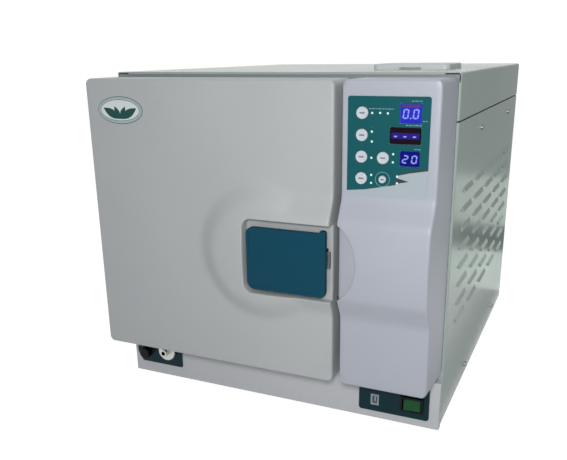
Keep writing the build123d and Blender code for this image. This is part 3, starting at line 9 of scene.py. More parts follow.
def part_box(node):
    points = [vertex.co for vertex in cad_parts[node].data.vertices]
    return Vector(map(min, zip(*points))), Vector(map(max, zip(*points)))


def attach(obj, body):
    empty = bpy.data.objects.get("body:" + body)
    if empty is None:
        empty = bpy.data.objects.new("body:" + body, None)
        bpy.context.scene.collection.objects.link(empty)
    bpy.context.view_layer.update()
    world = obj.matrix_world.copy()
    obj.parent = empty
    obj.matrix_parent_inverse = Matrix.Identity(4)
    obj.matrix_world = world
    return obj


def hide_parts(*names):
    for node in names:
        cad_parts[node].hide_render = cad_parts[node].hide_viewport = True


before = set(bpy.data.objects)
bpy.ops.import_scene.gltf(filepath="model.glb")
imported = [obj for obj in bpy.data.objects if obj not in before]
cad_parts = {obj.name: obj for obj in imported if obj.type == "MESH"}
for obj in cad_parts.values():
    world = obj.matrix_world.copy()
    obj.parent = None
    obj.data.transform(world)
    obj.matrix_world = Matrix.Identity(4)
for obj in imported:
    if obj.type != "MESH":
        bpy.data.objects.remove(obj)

bl_info = {
    "name": "Bench-top autoclave",
    "version": (1, 0, 0),
    "blender": (4, 5, 0),
    "location": "View3D > Sidebar > Autoclave",
    "description": "Models the visible pieces, the finishes and the stage of a bench-top autoclave",
    "category": "Object",
}

# Millimetres become metres, and Y is counted from the cabinet's front edge.
MM = 0.001
CABINET_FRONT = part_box("top_cover")[0].y / MM


def at(x, y, z):
    """A point in metres from millimetres, with Y counted from the cabinet's front edge."""
    return Vector((x, y + CABINET_FRONT, z)) * MM


def mm(point):
    """The same the other way: millimetres from a point in metres."""
    return Vector((point.x / MM, point.y / MM - CABINET_FRONT, point.z / MM))


def corners(node):
    """Lowest and highest corner of a CAD node in millimetres."""
    low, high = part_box(node)
    return mm(low), mm(high)


def smooth(low, high, value):
    """0 below low, 1 above high, and a soft step between."""
    t = min(1.0, max(0.0, (value - low) / (high - low)))
    return t * t * (3 - 2 * t)


# Sizes and colours that a user would change


class AutoclaveSizes(bpy.types.PropertyGroup):
    """Sizes of the visible pieces, in metres"""

    edge_round: bpy.props.FloatProperty(
        name="Edge rounding", description="Radius of the moulded fronts' outer edges",
        default=0.003, unit="LENGTH")
    rim_round: bpy.props.FloatProperty(
        name="Rim rounding", description="Radius of the rims of pocket and scoop",
        default=0.0016, unit="LENGTH")
    belt_height: bpy.props.FloatProperty(
        name="Belt height", description="How far the belt stands out of the fronts",
        default=0.014, unit="LENGTH")
    belt_crown: bpy.props.FloatProperty(
        name="Belt crown", description="How much the belt's middle rises above its shoulders",
        default=0.005, unit="LENGTH")
    relief_step: bpy.props.FloatProperty(
        name="Relief step", description="Distance between cuts across the curved fronts",
        default=0.003, unit="LENGTH")


class AutoclaveColours(bpy.types.PropertyGroup):
    """Colours of the finishes, as sRGB hex"""

    door: bpy.props.StringProperty(name="Door", description="Moulded door", default="B0B3B3")
    housing: bpy.props.StringProperty(name="Housing", description="Moulded control housing", default="ABAFB8")
    enamel: bpy.props.StringProperty(name="Enamel", description="Cabinet's sheet metal", default="A4B0A9")
    handle: bpy.props.StringProperty(name="Handle", description="Door handle", default="034155")
    film: bpy.props.StringProperty(name="Film", description="Keypad film", default="0F565B")
    plate: bpy.props.StringProperty(name="Plates", description="Drain and switch plates", default="042B32")
    rocker: bpy.props.StringProperty(name="Rocker", description="Power switch", default="054A24")
    digits: bpy.props.StringProperty(name="Digits", description="Lit display digits", default="9DAAFF")
    floor: bpy.props.StringProperty(name="Floor", description="Floor", default="C8C8C8")


def sizes():
    return bpy.context.scene.autoclave_sizes


def colours():
    return bpy.context.scene.autoclave_colours


def linear(code, alpha=1.0):
    """Linear colour from an sRGB hex code."""
    values = [int(code[i:i + 2], 16) / 255 for i in (0, 2, 4)]
    return tuple(v / 12.92 if v <= 0.04045 else ((v + 0.055) / 1.055) ** 2.4 for v in values) + (alpha,)


# Materials


def add(tree, kind, inputs=None, **settings):
    """Adds a node with its own settings, and its sockets' values or the outputs linked to them."""
    new = tree.nodes.new(kind)
    for name, value in settings.items():
        setattr(new, name, value)
    for name, value in (inputs or {}).items():
        if isinstance(value, bpy.types.NodeSocket):
            tree.links.new(value, new.inputs[name])
        else:
            new.inputs[name].default_value = value
    return new


def blank(name):
    """A material with an empty node tree, and its tree."""
    material = bpy.data.materials.new(name)
    material.use_nodes = True
    material.node_tree.nodes.clear()
    return material, material.node_tree


def close(tree, surface):
    add(tree, "ShaderNodeOutputMaterial", {"Surface": surface.outputs[0]})


def tint(tree, factor, dark, light):
    """Two close tones of one colour, mixed by a pattern."""
    ramp = add(tree, "ShaderNodeValToRGB", {"Fac": factor})
    ramp.color_ramp.elements[0].position = 0.3
    ramp.color_ramp.elements[0].color = dark
    ramp.color_ramp.elements[1].position = 0.7
    ramp.color_ramp.elements[1].color = light
    return ramp.outputs["Color"]


def shaded(code, amount):
    """A hex colour's linear value, made lighter or darker by a small share."""
    r, g, b, a = linear(code)
    return (min(1, r * (1 + amount)), min(1, g * (1 + amount)), min(1, b * (1 + amount)), a)


def moulded_abs(name, code, roughness=0.42, grain=0.9, depth=0.00004, gloss=0.5):
    """Injection-moulded ABS with a spark-eroded skin: a fine even grain that softens the highlights."""
    material, tree = blank(name)
    place = add(tree, "ShaderNodeTexCoord").outputs["Object"]
    skin = add(tree, "ShaderNodeTexNoise", {"Vector": place, "Scale": 1 / (grain * MM), "Detail": 2.0})
    cloud = add(tree, "ShaderNodeTexNoise", {"Vector": place, "Scale": 9.0, "Detail": 3.0})
    bump = add(tree, "ShaderNodeBump", {"Height": skin.outputs["Fac"], "Distance": depth, "Strength": 0.5})
    sheen = add(tree, "ShaderNodeMapRange", {"Value": cloud.outputs["Fac"], "From Min": 0.3, "From Max": 0.7,
                                             "To Min": roughness - 0.04, "To Max": roughness + 0.05})
    shader = add(tree, "ShaderNodeBsdfPrincipled", {
        "Base Color": tint(tree, cloud.outputs["Fac"], shaded(code, -0.03), shaded(code, 0.02)),
        "Roughness": sheen.outputs["Result"], "IOR": 1.54, "Specular IOR Level": gloss,
        "Normal": bump.outputs["Normal"]})
    close(tree, shader)
    return material


def baked_enamel(name, code, roughness=0.24):
    """Baked enamel on sheet steel: a slight orange peel of about 3 mm under a clear gloss."""
    material, tree = blank(name)
    place = add(tree, "ShaderNodeTexCoord").outputs["Object"]
    peel = add(tree, "ShaderNodeTexNoise", {"Vector": place, "Scale": 330.0, "Detail": 1.0})
    wave = add(tree, "ShaderNodeTexNoise", {"Vector": place, "Scale": 5.0, "Detail": 2.0})
    fine = add(tree, "ShaderNodeBump", {"Height": peel.outputs["Fac"], "Distance": 0.00003, "Strength": 0.35})
    broad = add(tree, "ShaderNodeBump", {"Height": wave.outputs["Fac"], "Distance": 0.0006, "Strength": 0.3,
                                         "Normal": fine.outputs["Normal"]})
    dull = add(tree, "ShaderNodeMapRange", {"Value": wave.outputs["Fac"], "From Min": 0.3, "From Max": 0.7,
                                            "To Min": roughness - 0.03, "To Max": roughness + 0.05})
    shader = add(tree, "ShaderNodeBsdfPrincipled", {
        "Base Color": tint(tree, wave.outputs["Fac"], shaded(code, -0.025), shaded(code, 0.02)),
        "Roughness": dull.outputs["Result"], "IOR": 1.5, "Specular IOR Level": 0.35,
        "Normal": broad.outputs["Normal"]})
    close(tree, shader)
    return material


def rolled_steel(name, code, roughness=0.32, along=(1.0, 40.0, 40.0), stroke=60.0):
    """Rolled or brushed metal: long fine strokes in one direction that stretch its highlights."""
    material, tree = blank(name)
    place = add(tree, "ShaderNodeTexCoord").outputs["Object"]
    drawn = add(tree, "ShaderNodeMapping", {"Vector": place, "Scale": along})
    strokes = add(tree, "ShaderNodeTexNoise", {"Vector": drawn.outputs["Vector"], "Scale": stroke,
                                               "Detail": 3.0})
    stain = add(tree, "ShaderNodeTexNoise", {"Vector": place, "Scale": 14.0, "Detail": 3.0})
    bump = add(tree, "ShaderNodeBump", {"Height": strokes.outputs["Fac"], "Distance": 0.00003,
                                        "Strength": 0.4})
    rough = add(tree, "ShaderNodeMapRange", {
        "Value": strokes.outputs["Fac"], "From Min": 0.3, "From Max": 0.7,
        "To Min": roughness - 0.06, "To Max": roughness + 0.08})
    shader = add(tree, "ShaderNodeBsdfPrincipled", {
        "Base Color": tint(tree, stain.outputs["Fac"], shaded(code, -0.08), shaded(code, 0.04)),
        "Metallic": 1.0, "Roughness": rough.outputs["Result"], "Normal": bump.outputs["Normal"]})
    close(tree, shader)
    return material


def plated(name, code, roughness=0.14):
    """Bright plating on a turned part: nearly a mirror, with faint wear."""
    material, tree = blank(name)
    place = add(tree, "ShaderNodeTexCoord").outputs["Object"]
    wear = add(tree, "ShaderNodeTexNoise", {"Vector": place, "Scale": 220.0, "Detail": 4.0})
    rough = add(tree, "ShaderNodeMapRange", {"Value": wear.outputs["Fac"], "From Min": 0.35, "From Max": 0.7,
                                             "To Min": roughness - 0.05, "To Max": roughness + 0.1})
    shader = add(tree, "ShaderNodeBsdfPrincipled", {
        "Base Color": tint(tree, wear.outputs["Fac"], shaded(code, -0.1), shaded(code, 0.03)),
        "Metallic": 1.0, "Roughness": rough.outputs["Result"]})
    close(tree, shader)
    return material


def turned_aluminium(name, code):
    """Lathe-turned cast aluminium: rings 1.2 mm apart about the chamber's axis."""
    material, tree = blank(name)
    low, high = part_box("pressure_plate")
    place = add(tree, "ShaderNodeTexCoord").outputs["Object"]
    centred = add(tree, "ShaderNodeMapping", {"Vector": place, "Location": -(low + high) / 2})
    rings = add(tree, "ShaderNodeTexWave", {"Vector": centred.outputs["Vector"], "Scale": 40.0,
                                            "Distortion": 0.4}, wave_type="RINGS", rings_direction="Y")
    bump = add(tree, "ShaderNodeBump", {"Height": rings.outputs["Fac"], "Distance": 0.00008, "Strength": 0.5})
    shader = add(tree, "ShaderNodeBsdfPrincipled", {
        "Base Color": tint(tree, rings.outputs["Fac"], shaded(code, -0.06), shaded(code, 0.04)),
        "Metallic": 1.0, "Roughness": 0.34, "Normal": bump.outputs["Normal"]})
    close(tree, shader)
    return material


def vulcanised_rubber(name, code, roughness=0.72):
    """Moulded rubber or silicone: dull, with a dusty grain of about 1 mm."""
    material, tree = blank(name)
    place = add(tree, "ShaderNodeTexCoord").outputs["Object"]
    dust = add(tree, "ShaderNodeTexNoise", {"Vector": place, "Scale": 900.0, "Detail": 4.0})
    bump = add(tree, "ShaderNodeBump", {"Height": dust.outputs["Fac"], "Distance": 0.00006, "Strength": 0.5})
    shader = add(tree, "ShaderNodeBsdfPrincipled", {
        "Base Color": tint(tree, dust.outputs["Fac"], shaded(code, -0.15), shaded(code, 0.2)),
        "Roughness": roughness, "IOR": 1.52, "Normal": bump.outputs["Normal"]})
    close(tree, shader)
    return material


def wool_blanket(name, code):
    """Glass-wool blanket: matted fibres in clumps of about 6 mm."""
    material, tree = blank(name)
    place = add(tree, "ShaderNodeTexCoord").outputs["Object"]
    clumps = add(tree, "ShaderNodeTexNoise", {"Vector": place, "Scale": 160.0, "Detail": 8.0,
                                              "Roughness": 0.7})
    bump = add(tree, "ShaderNodeBump", {"Height": clumps.outputs["Fac"], "Distance": 0.002, "Strength": 0.8})
    shader = add(tree, "ShaderNodeBsdfPrincipled", {
        "Base Color": tint(tree, clumps.outputs["Fac"], shaded(code, -0.25), shaded(code, 0.15)),
        "Roughness": 0.95, "Normal": bump.outputs["Normal"]})
    close(tree, shader)
    return material


def lit_segment(name, code, strength):
    """Lit display segment behind its filter: an even glow."""
    material, tree = blank(name)
    shader = add(tree, "ShaderNodeBsdfPrincipled", {
        "Base Color": linear("101020"), "Roughness": 0.3, "Specular IOR Level": 0.1,
        "Emission Color": linear(code), "Emission Strength": strength})
    close(tree, shader)
    return material


def tinted_filter(name, code, glow, strength):
    """Acrylic display filter: dark and glossy, with the even glow of the lit field behind it."""
    material, tree = blank(name)
    place = add(tree, "ShaderNodeTexCoord").outputs["Object"]
    haze = add(tree, "ShaderNodeTexNoise", {"Vector": place, "Scale": 120.0, "Detail": 2.0})
    shader = add(tree, "ShaderNodeBsdfPrincipled", {
        "Base Color": tint(tree, haze.outputs["Fac"], shaded(code, -0.2), shaded(code, 0.2)),
        "Roughness": 0.16, "IOR": 1.49, "Specular IOR Level": 0.06,
        "Emission Color": linear(glow), "Emission Strength": strength})
    close(tree, shader)
    return material


def paint_with(material, *names):
    """Gives CAD nodes or pieces a finish."""
    for name in names:
        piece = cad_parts.get(name) or bpy.data.objects[name]
        piece.data.materials.clear()
        piece.data.materials.append(material)


# Modelling helpers


def deselect():
    if bpy.context.mode != "OBJECT":
        bpy.ops.object.mode_set(mode="OBJECT")
    bpy.ops.object.select_all(action="DESELECT")


def choose(piece):
    deselect()
    piece.select_set(True)
    bpy.context.view_layer.objects.active = piece


def edit(piece):
    choose(piece)
    bpy.ops.object.mode_set(mode="EDIT")


def settle(name):
    """Names the new piece and moves its place into its mesh."""
    piece = bpy.context.object
    piece.name = name
    piece.data.name = name
    bpy.ops.object.transform_apply(location=True, rotation=True, scale=True)
    return piece


def cuboid(name, low, high):
    """A box between two corners given in millimetres."""
    deselect()
    low, high = at(*low), at(*high)
    bpy.ops.mesh.primitive_cube_add(size=1, location=(low + high) / 2, scale=high - low)
    return settle(name)


def drum(name, centre, radius, y0, y1, sides=96):
    """A cylinder along Y, from y0 back to y1."""
    deselect()
    x, z = centre
    bpy.ops.mesh.primitive_cylinder_add(
        vertices=sides, radius=radius * MM, depth=(y1 - y0) * MM,
        location=at(x, (y0 + y1) / 2, z), rotation=(pi / 2, 0, 0))
    return settle(name)


def pick(kind, test):
    """Selects only the vertices, edges or faces that pass a test, in edit mode."""
    bpy.ops.mesh.select_mode(type=kind)
    bpy.ops.mesh.select_all(action="DESELECT")
    mesh = bmesh.from_edit_mesh(bpy.context.edit_object.data)
    parts = {"VERT": mesh.verts, "EDGE": mesh.edges, "FACE": mesh.faces}[kind]
    found = 0
    for part in parts:
        if test(part):
            part.select = True
            found += 1
    mesh.select_flush_mode()
    bmesh.update_edit_mesh(bpy.context.edit_object.data)
    return found


def ends(edge):
    return mm(edge.verts[0].co), mm(edge.verts[1].co)


def bevel(piece, test, width, segments=4):
    """Rounds the edges that pass a test."""
    edit(piece)
    if not pick("EDGE", test):
        raise RuntimeError(f"no edge to round on {piece.name}")
    bpy.ops.mesh.bevel(offset=width * MM, segments=segments, profile=0.5, affect="EDGES")
    bpy.ops.object.mode_set(mode="OBJECT")


def carve(piece, *cutters, operation="DIFFERENCE"):
    """Cuts the cutters out of a piece, or fuses them with it, and removes them."""
    choose(piece)
    for cutter in cutters:
        cut = piece.modifiers.new("cut", "BOOLEAN")
        cut.operation = operation
        cut.solver = "EXACT"
        cut.object = cutter
        bpy.ops.object.modifier_apply(modifier=cut.name)
    for cutter in cutters:
        bpy.data.objects.remove(cutter)


def slice_at(piece, axis, places):
    """Cuts every face of a piece where it crosses planes across X or Z."""
    edit(piece)
    normal = (1, 0, 0) if axis == "X" else (0, 0, 1)
    for place in places:
        bpy.ops.mesh.select_all(action="SELECT")
        point = at(place, 0, 0) if axis == "X" else at(0, 0, place)
        bpy.ops.mesh.bisect(plane_co=point, plane_no=normal)
    bpy.ops.object.mode_set(mode="OBJECT")


def merge(name, pieces):
    """Joins pieces into one object."""
    choose(pieces[0])
    for piece in pieces[1:]:
        piece.select_set(True)
    bpy.ops.object.join()
    joined = bpy.context.object
    joined.name = name
    joined.data.name = name
    return joined


def soften(piece, angle=35):
    choose(piece)
    bpy.ops.object.shade_smooth_by_angle(angle=radians(angle))


def hand_over(piece, body, slot, material, *nodes):
    """Gives a finished piece its finish, its body and the nodes that it stands for."""
    piece.data.materials.clear()
    piece.data.materials.append(material)
    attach(piece, body)
    if nodes:
        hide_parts(*nodes)


def tablet(name, points, y0, y1):
    """A flat plate with a convex outline: points in X and Z, anticlockwise as seen from the front."""
    xs, zs = [x for x, z in points], [z for x, z in points]
    plate = cuboid(name, (min(xs) - 1, y0, min(zs) - 1), (max(xs) + 1, y1, max(zs) + 1))
    edit(plate)
    for (xa, za), (xb, zb) in zip(points, points[1:] + points[:1]):
        bpy.ops.mesh.select_all(action="SELECT")
        outward = Vector((zb - za, 0, xa - xb)).normalized()
        bpy.ops.mesh.bisect(plane_co=at(xa, 0, za), plane_no=outward, clear_outer=True, use_fill=True)
    bpy.ops.object.mode_set(mode="OBJECT")
    return plate


def oval(name, centre, half_width, half_height, y0, y1, sides=96):
    """A disc along Y with an oval outline."""
    x, z = centre
    start = 10
    disc = drum(name, centre, start, y0, y1, sides)
    edit(disc)
    bpy.ops.mesh.select_all(action="SELECT")
    bpy.ops.transform.resize(value=(half_width / start, 1, half_height / start),
                             center_override=at(x, (y0 + y1) / 2, z))
    bpy.ops.object.mode_set(mode="OBJECT")
    return disc


def leaf(name, root, angle, length, width, y0, y1):
    """A pointed leaf that grows from its root at an angle above the X axis."""
    c, s = cos(radians(angle)), sin(radians(angle))
    shares = [i / 10 for i in range(10)]
    rim = [(t * length, -width / 2 * sin(pi * t)) for t in shares]
    rim += [((1 - t) * length, width / 2 * sin(pi * t)) for t in shares]
    return tablet(name, [(root[0] + u * c - v * s, root[1] + u * s + v * c) for u, v in rim], y0, y1)


def runs(axis, least=1):
    """A test for edges that span more than a length along an axis."""
    return lambda edge: abs(getattr(ends(edge)[0], axis) - getattr(ends(edge)[1], axis)) > least


def lies_on_y(y, slack=0.05):
    """A test for edges in a plane across Y."""
    return lambda edge: all(abs(p.y - y) < slack for p in ends(edge))


# Relief of the two moulded fronts

# Heights of the belt's slopes, its crown, and the round bulge about the handle's left part
BELT_LOW, BELT_HEEL, BELT_SHOULDER, BELT_TOP = 177, 216, 306, 345
CROWN_Z, CROWN_SPAN = 262, 120
BULGE_X, BULGE_Z, BULGE_INNER, BULGE_OUTER, BULGE_SPAN = 18, 257, 62, 99, 130
# Where the belt fades out to the left on the door, and how softly belt and bulge run together
BELT_FADE, BLEND = (-20, 40), 2.0
# The fronts are modelled this much too high, so that pocket, scoop and rims can be cut in a flat face.
TEMPORARY = 4.0


def belt_rise(z):
    """How far the belt stands out at a height, in millimetres."""
    base = smooth(BELT_LOW, BELT_HEEL, z) * (1 - smooth(BELT_SHOULDER, BELT_TOP, z))
    crown = max(0.0, cos(pi * (z - CROWN_Z) / CROWN_SPAN))
    return base * (sizes().belt_height + sizes().belt_crown * crown) / MM


def door_rise(x, z):
    """Belt and round bulge of the door, softly run together."""
    belt = belt_rise(z) * smooth(*BELT_FADE, x)
    r = hypot(x - BULGE_X, z - BULGE_Z)
    crown = 0.97 * sizes().belt_crown * max(0.0, cos(pi * r / BULGE_SPAN))
    bulge = (1 - smooth(BULGE_INNER, BULGE_OUTER, r)) * (sizes().belt_height + crown) / MM
    blend = max(0.0, BLEND - abs(belt - bulge))
    return max(belt, bulge) + blend * blend / (4 * BLEND)


def edge_drop(inset):
    """How far a rounded edge falls back at a distance from the outline."""
    radius = sizes().edge_round / MM
    if inset >= radius:
        return 0.0
    return radius - sqrt(max(0.0, radius ** 2 - (radius - max(0.0, inset)) ** 2))


def inset_of(x, z, low, high, corner):
    """Distance inwards from a rounded outline in X and Z."""
    dx = abs(x - (low.x + high.x) / 2) - ((high.x - low.x) / 2 - corner)
    dz = abs(z - (low.z + high.z) / 2) - ((high.z - low.z) / 2 - corner)
    outside = hypot(max(dx, 0), max(dz, 0)) + min(max(dx, dz), 0)
    return corner - outside


def raise_front(piece, low, high, corner, face, rise, floors):
    """Moves a flat temporary front onto its relief. A floor is a temporary Y and the Y that it gets."""
    front = face - TEMPORARY
    for vertex in piece.data.vertices:
        x, y, z = mm(vertex.co)
        drop = edge_drop(inset_of(x, z, low, high, corner))
        floor = [real(x) for cut, real in floors if abs(y - cut) < 0.04]
        if floor:
            vertex.co = at(x, floor[0] + drop, z)
        elif y < face + 1e-3:
            vertex.co = at(x, y - front + face - rise(x, z) + drop, z)
    piece.data.update()


def steps(low, high, step):
    count = max(1, round((high - low) / step))
    return [low + (high - low) * i / count for i in range(count + 1)]


# Distances from the outline at which a front is cut for its rounded edge
NEAR_EDGE = (0.25, 0.7, 1.3, 2.1, 3.0, 8.0)


def outline_cuts(low, high):
    """Cuts close to both ends of a span, for the rounded edges."""
    return [low + n for n in NEAR_EDGE] + [high - n for n in NEAR_EDGE]


# The two mouldings: corner radius, wall, and the Y of their flat faces
DOOR_CORNER = 8.0
SKIN = 3.0
FACE = -73.0
# The door: top of the handle's pocket, and the notches for its hinges
POCKET_TOP = 304.5
NOTCH_FRONT, NOTCH_DEPTH, NOTCH_HALF, NOTCH_CENTRES = -43, 3.5, 24, (150, 412)
# The housing: its finger scoop, and how far its right wall leans in towards the back
SCOOP_CENTRE, SCOOP_RADIUS, SCOOP_EDGE_Y, SCOOP_SLOPE = (92, 258), 60.5, -80, 0.255
HOUSING_DRAFT = 3.5
# Back of the housing's shell, and back of the dark seal behind it, which is mostly painted shade in the gap
# to the cabinet
SHELL_BACK, SHADE_SEAL_BACK = -3.0, -0.3
# Radii of the lock bolt's holes in the door and in the housing
DOOR_BOLT_HOLE, HOUSING_BOLT_HOLE = 6, 4.8


def hollow_out(piece, depth_y, back_y, wall):
    """Opens a moulding from behind: its inset back face is moved forward and leaves the walls."""
    edit(piece)
    pick("FACE", lambda face: all(abs(mm(v.co).y - back_y) < 0.05 for v in face.verts))
    bpy.ops.mesh.inset(thickness=wall * MM, depth=0)
    bpy.ops.transform.translate(value=(0, (depth_y - back_y) * MM, 0))
    bpy.ops.object.mode_set(mode="OBJECT")


def bolt_cutter(x0, x1, radius):
    """A round bar along the lock bolt's axis, to cut its hole."""
    low, high = corners("lock_bolt")
    y, z = (low.y + high.y) / 2, (low.z + high.z) / 2
    bar = cuboid("bolt_hole", (x0, y - radius, z - radius), (x1, y + radius, z + radius))
    bevel(bar, runs("x"), radius * 0.98, 6)
    return bar


class AUTOCLAVE_OT_door_shell(bpy.types.Operator):
    """Model the moulded door with its belt, bulge and handle pocket"""

    bl_idname = "autoclave.door_shell"
    bl_label = "Door shell"

    def execute(self, context):
        low, high = corners("door_cover")
        handle_low = corners("door_handle")[0]
        hook_low, hook_high = corners("latch_hook")
        face, back = FACE, high.y
        front = face - TEMPORARY
        rim = sizes().rim_round / MM
        door = cuboid("door_shell", (low.x, front, low.z), (high.x, back, high.z))
        bevel(door, runs("y", 10), DOOR_CORNER, 6)
        pocket = cuboid("pocket", (handle_low.x - 5, front - 5, handle_low.z - 6),
                        (high.x + 5, face, POCKET_TOP))
        bevel(pocket, lambda e: runs("y")(e) and ends(e)[0].x < 20, 12, 8)
        hook_slot = cuboid("hook_slot", (hook_low.x + 9.5, face - 1, hook_low.z - 2),
                           (hook_low.x + 25, face + 8, hook_high.z + 2))
        notches = [cuboid("notch", (low.x - 5, NOTCH_FRONT, z - NOTCH_HALF),
                          (low.x + NOTCH_DEPTH, back + 5, z + NOTCH_HALF)) for z in NOTCH_CENTRES]
        keyway = bolt_cutter(high.x - 8, high.x + 5, DOOR_BOLT_HOLE)
        hollow_out(door, face + SKIN, back, SKIN)
        carve(door, pocket, hook_slot, keyway, *notches)
        bevel(door, lies_on_y(front), rim, 3)
        slice_at(door, "X", outline_cuts(low.x, high.x) + steps(-90, 108, 3))
        slice_at(door, "Z", outline_cuts(low.z, high.z) + steps(156, 354, 3))
        raise_front(door, low, high, DOOR_CORNER, face, door_rise, [(face, lambda x: face)])
        pin_low, pin_high = corners("handle_pin")
        lugs = [cuboid("lug", (pin_low.x - 1.2, pin_low.y - 1.2, z), (pin_high.x + 1.2, face + 0.5, z + 4))
                for z in (pin_low.z, pin_high.z - 4)]
        for lug in lugs:
            bevel(lug, lambda e: runs("z")(e) and all(p.y < pin_low.y for p in ends(e)), 2.8, 5)
        door = merge("door_shell", [door, *lugs])
        soften(door)
        hand_over(door, "door", "door_plastic",
                  moulded_abs("moulded_abs_door", colours().door, 0.45), "door_cover")
        return {"FINISHED"}


class AUTOCLAVE_OT_housing_shell(bpy.types.Operator):
    """Model the moulded control housing with its belt and finger scoop"""

    bl_idname = "autoclave.housing_shell"
    bl_label = "Control housing shell"

    def execute(self, context):
        low, high = corners("control_housing")
        face, back = FACE, SHELL_BACK
        front = face - TEMPORARY
        scoop_cut = front + 2
        rim = sizes().rim_round / MM
        shell = cuboid("housing_shell", (low.x, front, low.z), (high.x, back, high.z))
        bevel(shell, runs("y", 10), DOOR_CORNER, 6)
        scoop = drum("scoop", SCOOP_CENTRE, SCOOP_RADIUS, front - 5, scoop_cut, 160)
        key_holes = [drum("key_hole", key_centre(n), key_radius(n) + KEY_GAP, front - 5, -60, 48)
                     for n in KEYS]
        hollow_out(shell, face + SKIN, back, SKIN)
        carve(shell, scoop, bolt_cutter(low.x - 5, low.x + 8, HOUSING_BOLT_HOLE))
        bevel(shell, lies_on_y(front), rim * 0.5, 3)
        carve(shell, *key_holes)
        slice_at(shell, "X", outline_cuts(low.x, high.x) + steps(140, 236, 12))
        slice_at(shell, "Z", outline_cuts(low.z, high.z) + steps(165, 351, 3))
        scoop_floor = (scoop_cut, lambda x: SCOOP_EDGE_Y - SCOOP_SLOPE * (x - low.x))
        raise_front(shell, low, high, DOOR_CORNER, face, lambda x, z: belt_rise(z), [scoop_floor])
        for vertex in shell.data.vertices:
            x, y, z = mm(vertex.co)
            share = min(1.0, max(0.0, (x - 232) / (high.x - 235)))
            vertex.co = at(x - share * HOUSING_DRAFT * (back - y) / (back - face), y, z)
        soften(shell)
        hand_over(shell, "cabinet", "housing_plastic",
                  moulded_abs("moulded_abs_housing", colours().housing, 0.4), "control_housing")
        # A dark rubber seal round the housing's back edge, drawn there mostly as painted shade: it darkens
        # the gap between housing and cabinet.
        seal = cuboid("housing_shade_seal", (low.x + 0.8, back, low.z + 0.8),
                      (high.x - 0.2, SHADE_SEAL_BACK, high.z - 0.8))
        middle = cuboid("middle", (low.x + 3.5, back - 5, low.z + 3.5), (high.x - 3, 5, high.z - 3.5))
        for block, radius in ((seal, DOOR_CORNER - 0.5), (middle, DOOR_CORNER - 3)):
            bevel(block, runs("y"), radius, 6)
        carve(seal, middle)
        soften(seal)
        hand_over(seal, "cabinet", "foot_rubber", vulcanised_rubber("seal_rubber_painted_shade", "26282A", 0.8))
        return {"FINISHED"}


# The panel's keys, and the gap round each
KEY_GAP = 0.3
KEYS = ("key_timer", "key_heat", "key_cycle", "key_stop", "key_set", "key_start")


def key_centre(node):
    low, high = corners(node)
    return (low.x + high.x) / 2, (low.z + high.z) / 2


def key_radius(node):
    low, high = corners(node)
    return (high.x - low.x) / 2 - 1.2


class AUTOCLAVE_OT_keys(bpy.types.Operator):
    """Model the panel's round keys"""

    bl_idname = "autoclave.keys"
    bl_label = "Keys"

    def execute(self, context):
        plastic = moulded_abs("moulded_silver_key", "C3CACF", 0.35, 0.6)
        ink = moulded_abs("pad_printed_ink", "66747F", 0.5, 0.5)
        for node in KEYS:
            x, z = key_centre(node)
            radius = key_radius(node)
            low, high = corners(node)
            key = drum(node + "_cap", (x, z), radius, low.y, low.y + 6.9, 48)
            stem = drum("stem", (x, z), 2, low.y + 6.8, high.y, 24)
            bevel(key, lies_on_y(low.y), 0.9, 4)
            edit(key)
            pick("FACE", lambda face: all(mm(v.co).y < low.y + 0.05 for v in face.verts))
            bpy.ops.mesh.inset(thickness=1.1 * MM, depth=0)
            bpy.ops.transform.translate(value=(0, 0.35 * MM, 0))
            bpy.ops.object.mode_set(mode="OBJECT")
            key = merge(node + "_cap", [key, stem])
            soften(key, 30)
            body = node[4:] + "_key"
            hand_over(key, body, "key_silver", plastic, node)
            half = radius * 0.45
            mark = cuboid(node + "_mark", (x - half, low.y + 0.28, z - 0.9), (x + half, low.y + 0.4, z + 0.9))
            bevel(mark, runs("y", 0.05), 0.6, 3)
            hand_over(mark, body, "knob_black", ink)
        return {"FINISHED"}


